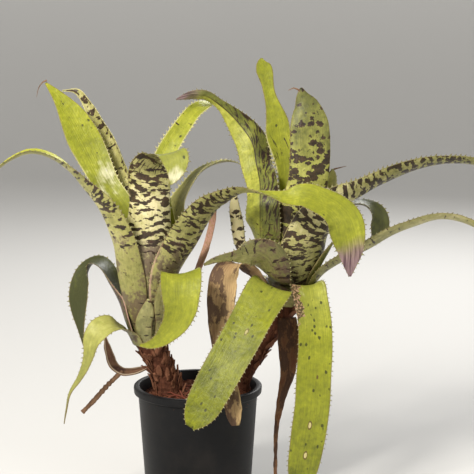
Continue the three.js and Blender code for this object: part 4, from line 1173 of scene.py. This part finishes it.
def bore(target, profile, places):
    # cuts plain round holes through a piece
    tools = []
    for x, y in places:
        tool = lathe("bore", profile, pot["holeSides"])
        tool.data.transform(Matrix.Translation((x * mm, y * mm, 0)))
        cut = target.modifiers.new("bore", "BOOLEAN")
        cut.operation = "DIFFERENCE"
        cut.solver = "EXACT"
        cut.object = tool
        tools.append(tool)
    mesh = finalMesh(target)
    target.modifiers.clear()
    target.data = mesh
    for tool in tools:
        bpy.data.objects.remove(tool)


def potPaint():
    paint = Paint("blackPlastic", Specular_IOR_Level=0.2)
    coords = paint.coords()
    smudge = paint.noise(coords, 38.0, 4.0, 0.6)
    grain = paint.noise(coords, 1400.0)
    scuff = paint.noise(paint.stretch(coords, (40.0, 40.0, 900.0)), 1.0, 3.0, 0.7)
    dust = (smudge - 0.42).step(0.0, 0.3) * 0.5
    paint.link("Base Color", paint.mix(dust, pot["black"], pot["dust"]))
    paint.link("Roughness", (0.30 + smudge * 0.22 + scuff * 0.12).clip())
    paint.bump(grain * 0.4 + scuff * 0.5 + smudge * 0.6, 0.00012)
    return paint.material


def makePot():
    foot, top, wall, floor = pot["foot"], pot["height"], pot["wall"], pot["floor"]
    rim = pot["top"] + pot["rimReach"]
    lip = top - pot["rimDrop"]
    inside = pot["top"] - wall
    profile = [(0, pot["footRise"]), (foot - pot["footRing"] - 1, pot["footRise"])]
    profile += [(foot - pot["footRing"], 0), (foot - 0.8, 0), (foot - 0.2, 0.3), (foot, 1)]
    profile += [(potRadius(z), z) for z in (18, 36, 54, 72, lip - 0.6)]
    profile += [(potRadius(lip) + 0.4, lip), (rim - 0.5, lip), (rim, lip + 0.5)]
    profile += [(rim + 0.35, top - 1.8), (rim + 0.2, top - 0.8), (rim - 0.4, top - 0.2)]
    profile += [(rim - 1.2, top), (inside + 1.2, top), (inside + 0.4, top - 0.3), (inside, top - 1)]
    profile += [(potRadius(z) - wall, z) for z in (78, 54, 30, 4)]
    profile += [(potRadius(floor) - wall - 1.2, floor), (0, floor)]
    made = lathe("potShell", profile, pot["sides"])
    ring, radius = pot["drainRing"], pot["drainRadius"]
    places = [(ring * math.cos(a), ring * math.sin(a)) for a in circle(pot["drains"])]
    bore(made, [(0, -3), (radius, -3), (radius, 6), (0, 6)], places)
    made.data.shade_smooth()
    made.data.set_sharp_from_angle(angle=math.radians(pot["creaseAngle"]))
    place(made, "blackPlastic", "pot", potPaint())


# small shapes and the tree that strews them
strewn = {"smallest": 0.45, "largest": 1.2, "dip": 0.05}  # shares of the size, then radians
barkInks = {  # dark and light tone, and how finely the threads repeat, per metre
    "barkChip": ((0.045, 0.017, 0.009), (0.22, 0.09, 0.045), 700.0),
    "coirFibre": ((0.11, 0.030, 0.015), (0.36, 0.15, 0.075), 400.0),
    "oldRoot": ((0.05, 0.012, 0.008), (0.30, 0.085, 0.050), 500.0),
    "oldSheath": ((0.055, 0.018, 0.010), (0.36, 0.16, 0.085), 260.0),
    "stemBark": ((0.022, 0.007, 0.004), (0.18, 0.065, 0.034), 420.0),
    "dryStalk": ((0.07, 0.030, 0.018), (0.42, 0.25, 0.14), 500.0),
}


def barkPaint(name, dark, light, scale):
    paint = Paint(name, Specular_IOR_Level=0.15)
    coords = paint.coords()
    thread = paint.noise(paint.stretch(coords, (scale, scale, scale * 0.16)), 1.0, 4.0, 0.7)
    cloud = paint.noise(coords, 90.0, 3.0)
    speck = paint.noise(coords, 1500.0)
    skin = paint.mix((thread * 1.3 + cloud * 0.6 - 0.55).clip(), dark, light)
    paint.link("Base Color", paint.mix((cloud - 0.55).step(0, 0.2) * 0.5, skin, dark))
    paint.link("Roughness", (0.7 + speck * 0.25).clip())
    paint.bump(thread + cloud * 0.5 + speck * 0.2, 0.0009)
    return paint.material


def scatterTree(name):
    # lays one small shape over a surface, turned about the normal by spin, about its own length by
    # roll, and raised off the surface by lift
    tree, given = newTree(name, [
        ("Shape", "Object", None), ("Count", "Float", 1000.0), ("Size", "Float", 0.01),
        ("Lift", "Float", 0.1), ("Spin", "Float", 3.14), ("Roll", "Float", 3.0), ("Seed", "Int", 0),
        ("Material", "Material", None),
    ])

    def luck(low, high, offset):
        return chance(tree, low, high, given["Seed"] + offset)

    values = {"Mesh": given["Geometry"], "Density": given["Count"], "Seed": given["Seed"]}
    spots = addNode(tree, "GeometryNodeDistributePointsOnFaces", values, "Points")
    turn = stand(tree, spots.beside("Normal"), (0, 0, 1))
    spin = addNode(tree, "ShaderNodeCombineXYZ", {2: luck(-given["Spin"], given["Spin"], 1)})
    angles = {0: luck(-given["Roll"], given["Roll"], 2), 1: luck(-given["Lift"], strewn["dip"], 3)}
    for angle in (spin, addNode(tree, "ShaderNodeCombineXYZ", angles)):
        further = addNode(tree, "FunctionNodeEulerToRotation", {0: angle})
        values = {"Rotation": turn, "Rotate By": further}
        turn = addNode(tree, "FunctionNodeRotateRotation", values, rotation_space="LOCAL")
    size = given["Size"] * luck(strewn["smallest"], strewn["largest"], 4)
    made = addNode(tree, "GeometryNodeInstanceOnPoints", {
        "Points": spots, "Rotation": turn,
        "Instance": addNode(tree, "GeometryNodeObjectInfo", {"Object": given["Shape"]}, "Geometry"),
        "Scale": addNode(tree, "ShaderNodeCombineXYZ", {0: size, 1: size, 2: size}),
    })
    endTree(tree, made, given["Material"])
    return tree


def scatter(name, surface, shape, kind, seed, material):
    # kind: about how many pieces, their size in mm, then lift, spin and roll in radians
    count, size, lift, spin, roll = kind
    area = sum(face.area for face in surface.data.polygons)
    inputs = {"Shape": shape, "Count": count / area, "Size": size * mm, "Lift": lift, "Spin": spin,
              "Roll": roll, "Seed": seed, "Material": material}
    return useNodes(surface, "scatterPieces", scatterTree, inputs, name)


def tube(name, path, radii, sides):
    # a tapered closed rod along a path
    path = np.array(path, float)
    along = unit(np.gradient(path, axis=0))
    helper = np.array([0.13, 0.31, 0.94]) if abs(along[0][2]) < 0.8 else np.array([1.0, 0.1, 0.0])
    first = unit(np.cross(along, helper))
    second = np.cross(along, first)
    points = []
    for i, radius in enumerate(radii):
        for a in circle(sides):
            points.append(path[i] + (first[i] * math.cos(a) + second[i] * math.sin(a)) * radius)
    return addObject(newMesh(name, points, tubeFaces(len(path), sides)))


def fibreShape(radius):
    # one curved strand of unit length, thin at both ends
    t = np.linspace(0, 1, 7)
    path = np.stack([t - 0.5, 0.14 * np.sin(t * 5), 0.10 * np.sin(t * 3.1) - 0.03], -1)
    return tube("fibre", path, radius * (1 - 0.75 * np.abs(2 * t - 1) ** 3), 4)


def scrapShape():
    # a torn flake of old sheath, curled at its edges, that stands off at its upper end
    points, faces = [], []
    for depth in (0.02, -0.02):
        for t in np.linspace(-0.1, 1, 6):
            for j in (-1, 0, 1):
                side = j * (0.08 + 0.16 * math.sin(math.pi * min(1, t * 0.8 + 0.2)))
                points.append((t, side, 0.12 * t * t + 0.09 * abs(j) + depth))
    for i in range(5):
        for j in range(2):
            a = i * 3 + j
            faces += [(a, a + 3, a + 4, a + 1), (a + 18, a + 19, a + 22, a + 21)]
    ring = [0, 1, 2, 5, 8, 11, 14, 17, 16, 15, 12, 9, 6, 3]
    for a, b in zip(ring, ring[1:] + ring[:1]):
        faces.append((a, b, b + 18, a + 18))
    return addObject(newMesh("scrap", points, faces))


def chipShape():
    # a flat five-sided chip of bark
    random.seed(12)
    points = []
    for a in circle(5):
        reach = random.uniform(0.35, 0.6)
        for low, high in ((-0.12, -0.05), (0.05, 0.16)):
            points.append((reach * math.cos(a), 0.6 * reach * math.sin(a), random.uniform(low, high)))
    faces = [tuple(range(8, -1, -2)), tuple(range(1, 10, 2))]
    faces += [(2 * k, (2 * k + 2) % 10, (2 * k + 3) % 10, 2 * k + 1) for k in range(5)]
    return addObject(newMesh("chip", points, faces))


# potting mix, in mm
mix = {
    "top": 80, "dome": 6, "reach": 45, "gap": 0.3, "rings": 46, "spokes": 120,
    "lump": 1.5, "lumpSize": 9, "crumb": 0.7, "crumbSize": 2.2,
    "mound": 2.2, "moundReach": 4,  # soil heaped round each stem
    "socketGap": 0.35, "socketFloor": 43.5,  # the holes that the stems stand in
    "litterReach": 43.5, "rootReach": 31, "fibreRadius": 0.13, "rootRadius": 0.6,
    "chips": (420, 2.6, 0.5, 3.14, 3.0), "fibres": (900, 15, 0.22, 3.14, 3.0),
    "roots": (46, 22, 0.12, 3.14, 3.0),
    "dark": (0.018, 0.007, 0.004), "light": (0.15, 0.050, 0.026), "crumbTone": (0.28, 0.13, 0.07),
}


def coirPaint():
    paint = Paint("coirMix", Specular_IOR_Level=0.1)
    coords = paint.coords()
    clod = paint.noise(coords, 160.0, 4.0, 0.6)
    crumb = paint.noise(coords, 900.0, 4.0, 0.7)
    skin = paint.mix((clod * 0.7 + crumb * 0.5 - 0.1).clip(), mix["dark"], mix["light"])
    paint.link("Base Color", paint.mix((crumb - 0.6).step(0, 0.12), skin, mix["crumbTone"]))
    paint.link("Roughness", (0.8 + crumb * 0.2).clip())
    paint.bump(clod + crumb * 0.6, 0.0012)
    return paint.material


def mixHeight(x, y):
    z = mix["top"] + mix["dome"] * (1 - (math.hypot(x, y) / mix["reach"]) ** 2)
    z += mix["lump"] * ripple(x / mix["lumpSize"], y / mix["lumpSize"], 3)
    z += mix["crumb"] * ripple(x / mix["crumbSize"], y / mix["crumbSize"], 7)
    for stem in stems.values():
        stemX, stemY, _, radius = stem["rows"][1]
        gap = math.hypot(x - stemX, y - stemY) - radius
        z += mix["mound"] * math.exp(-max(gap, 0) / mix["moundReach"])
    return z


def mixPatch(name, points, faces, reach):
    # the top of the mix within reach of its middle, for strewing on
    def near(i):
        return points[i][2] > mix["top"] - 10 and math.hypot(*points[i][:2]) < reach

    patch = [face for face in faces if all(near(i) for i in face)]
    return addObject(newMesh(name, np.array(points) * mm, patch))


def makeMix(fibre, skins):
    edge = potRadius(mix["top"]) - pot["wall"] - mix["gap"]
    base = potRadius(pot["floor"]) - pot["wall"] - mix["gap"]
    floor = pot["floor"] + mix["gap"]
    spokes = mix["spokes"]
    points = [(0, 0, mixHeight(0, 0))]
    for ring in range(1, mix["rings"] + 1):
        for a in circle(spokes):
            r = edge * ring / mix["rings"]
            x, y = r * math.cos(a), r * math.sin(a)
            points.append((x, y, mixHeight(x, y)))
    points += [(base * math.cos(a), base * math.sin(a), floor) for a in circle(spokes)]
    points.append((0, 0, floor))
    end = len(points) - 1
    faces = []
    for k in range(spokes):
        after = (k + 1) % spokes
        faces.append((0, 1 + k, 1 + after))
        for a in range(1, end - spokes, spokes):
            faces.append((a + k, a + spokes + k, a + spokes + after, a + after))
        faces.append((end, end - spokes + after, end - spokes + k))
    made = addObject(newMesh("mixBody", np.array(points) * mm, faces))
    litter = mixPatch("litter", points, faces, mix["litterReach"])
    middle = mixPatch("middle", points, faces, mix["rootReach"])
    low, high = mix["socketFloor"], mix["top"] + 40
    for stem in stems.values():
        x, y, _, radius = stem["rows"][1]
        wide = radius + mix["socketGap"]
        bore(made, [(0, low), (wide, low), (wide, high), (0, high)], [(x, y)])
    place(made, "coir", "pottingMix", coirPaint())
    chip = chipShape()
    root = fibreShape(mix["rootRadius"] / mix["roots"][1])
    place(scatter("barkChips", litter, chip, mix["chips"], 5, skins["barkChip"]), "coir")
    place(scatter("coirFibres", litter, fibre, mix["fibres"], 6, skins["coirFibre"]), "coir")
    place(scatter("oldRoots", middle, root, mix["roots"], 9, skins["oldRoot"]), "coir")
    for helper in (chip, root, litter, middle):
        bpy.data.objects.remove(helper)


# stems; rows in mm: x, y, z, radius
stems = {
    "stemLeft": {
        "rows": [(-22, -9, 44, 10), (-22, -9, 88, 11), (-25, -10, 98, 10.5), (-31, -12, 112, 10),
                 (-37, -14, 126, 12), (-37, -14, 141.4, 7.84)],
        "scar": 4.6, "scarDepth": 0.55, "shag": 0.4, "seed": 3, "scraps": 70,
    },
    "stemRight": {
        "rows": [(33, 5, 44, 7.5), (33, 5, 90, 8.5), (38, 5, 100, 8.5), (53, 4, 124, 8.5),
                 (67, 2, 146, 10), (74, 2, 154, 12), (74, 2, 166, 9.48)],
        "scar": 5.5, "scarDepth": 0.45, "shag": 0.32, "seed": 8, "scraps": 80,
    },
}
bark = {
    "sides": 72, "stride": 0.8, "inset": 0.35, "wander": 2.2,  # mm, but for the sides
    "bend": 25, "girth": 6,  # smoothing passes over the path and over the radius
    "foot": 4, "neck": 3,  # mm: growth starts this far below the mix and ends this far under the crown
    "threads": (150, 9, 0.16, 0.5, 3.0), "scraps": (8.5, 0.3, 0.4, 0.35),
}


def makeStem(name, stem, fibre, scrap, skins):
    rows = np.array(stem["rows"], float)
    z = np.arange(rows[0][2], rows[-1][2] + 0.01, bark["stride"])
    x, y, r = (np.interp(z, rows[:, 2], rows[:, k]) for k in (0, 1, 3))
    x, y, r = smooth(x, bark["bend"]), smooth(y, bark["bend"]), smooth(r, bark["girth"])
    points = []
    for i, height in enumerate(z):
        for a in circle(bark["sides"]):
            wobble = ripple(math.cos(a) * 2, math.sin(a) * 2, height / 6 + stem["seed"])
            scar = ((height + wobble * bark["wander"]) / stem["scar"]) % 1
            thread = ripple(math.cos(a) * 9, math.sin(a) * 9, height / 7)
            reach = r[i] - bark["inset"] + stem["scarDepth"] * (scar**3 - 0.5) + thread * stem["shag"]
            points.append((x[i] + reach * math.cos(a), y[i] + reach * math.sin(a), height))
    faces = tubeFaces(len(z), bark["sides"])
    made = addObject(newMesh(name + "Bark", np.array(points) * mm, faces))
    place(made, "stemBark", name, skins["stemBark"])
    # threads and flakes grow between the mix and the lowest leaf
    low, high = rows[1][2] - bark["foot"], rows[-2][2] - bark["neck"]
    bare = [face for face in faces[:-2] if low < points[face[0]][2] < high]
    shell = addObject(newMesh("bare", np.array(points) * mm, bare))
    seed = stem["seed"]
    threads = scatter(name + "Threads", shell, fibre, bark["threads"], seed, skins["coirFibre"])
    kind = (stem["scraps"], *bark["scraps"])
    scraps = scatter(name + "Scraps", shell, scrap, kind, seed + 20, skins["oldSheath"])
    place(threads, "stemBark")
    place(scraps, "stemBark")
    bpy.data.objects.remove(shell)


makePot()
skins = {name: barkPaint(name, *ink) for name, ink in barkInks.items()}
fibre = fibreShape(mix["fibreRadius"] / mix["fibres"][1])
scrap = scrapShape()
makeMix(fibre, skins)
for name, stem in stems.items():
    makeStem(name, stem, fibre, scrap, skins)
for helper in (fibre, scrap):
    bpy.data.objects.remove(helper)
print("pot, mix and stems made")


# dried hook with its broken stalk, and the thin dry ends of some leaves
hook = {  # a curled strip, then the stalk's rows in mm: x, y, z, radius
    "seed": 47,
    "curl": {
        "spines": 0, "crumple": 0.45, "tone": 0.28, "band": 0.25, "through": 0.35, "blush": 0.9,
        "blade": [
            (-39.4, -11.8, 105.6, 5, 190, -90, 60), (-44, -12.6, 103.7, 8, 190, -85, 60),
            (-50, -14.6, 102.3, 10, 190, -80, 60), (-58.5, -16.5, 102.3, 11.3, 185, -60, 55),
            (-66, -17.3, 107.2, 12.5, 180, -40, 40), (-69.8, -17, 117, 12, 180, -40, 15),
            (-71.2, -17, 125.8, 8, 185, -40, 5), (-71.6, -17.5, 133, 2.4, 190, -40, 0),
        ],
    },
    "stalk": [(-58, -18, 104.5, 1.3), (-61, -19, 102.5, 1.8), (-70, -21, 94, 1.9), (-80, -24, 83, 2.0),
              (-89, -26, 74, 1.6)],
}
wisps = {  # thin dry threads and spines at leaf ends, in mm
    "tallTendril": [(-119, 29.8, 328, 0.8), (-122, 30, 327, 0.5), (-125, 30, 323.5, 0.35),
                    (-126.6, 30, 319, 0.25), (-127, 29, 315, 0.12)],
    "ovalSpine": [(80, -7.5, 319, 0.9), (78, -8.3, 322.5, 0.7), (74, -9, 324, 0.5),
                  (70, -10, 322, 0.15)],
    "budSpine": [(102.5, 5.2, 257, 0.8), (106, 4.6, 260.3, 0.7), (110, 4, 261.4, 0.5),
                 (116, 3, 263, 0.15)],
}
rods = {"stalk": (60, 14, 0.35), "wisp": (24, 7, 0.1)}  # rings, sides, unevenness


def dryRod(name, rows, count, sides, rough):
    # a round rod through the rows, with an uneven skin
    rows = np.array(rows, float)
    t = np.linspace(0, len(rows) - 1, count)
    fine = smooth(np.stack([np.interp(t, range(len(rows)), column) for column in rows.T], -1), 4)
    radii = [r * mm * (1 + rough * ripple(i / 2.0, r, 1)) for i, r in enumerate(fine[:, 3])]
    return tube(name, fine[:, :3] * mm, radii, sides)


curl = buildLeaf("leftDriedCurl", hook["curl"], hook["seed"])[0]
place(curl, "driedLeaf", "leftDriedHook", driedSkin)
stalk = dryRod("leftDriedStalk", hook["stalk"], *rods["stalk"])
place(stalk, "driedLeaf", None, skins["dryStalk"])
for name, rows in wisps.items():
    place(dryRod(name, rows, *rods["wisp"]), "driedLeaf", None, skins["dryStalk"])
print("dried pieces made")

bpy.context.view_layer.update()
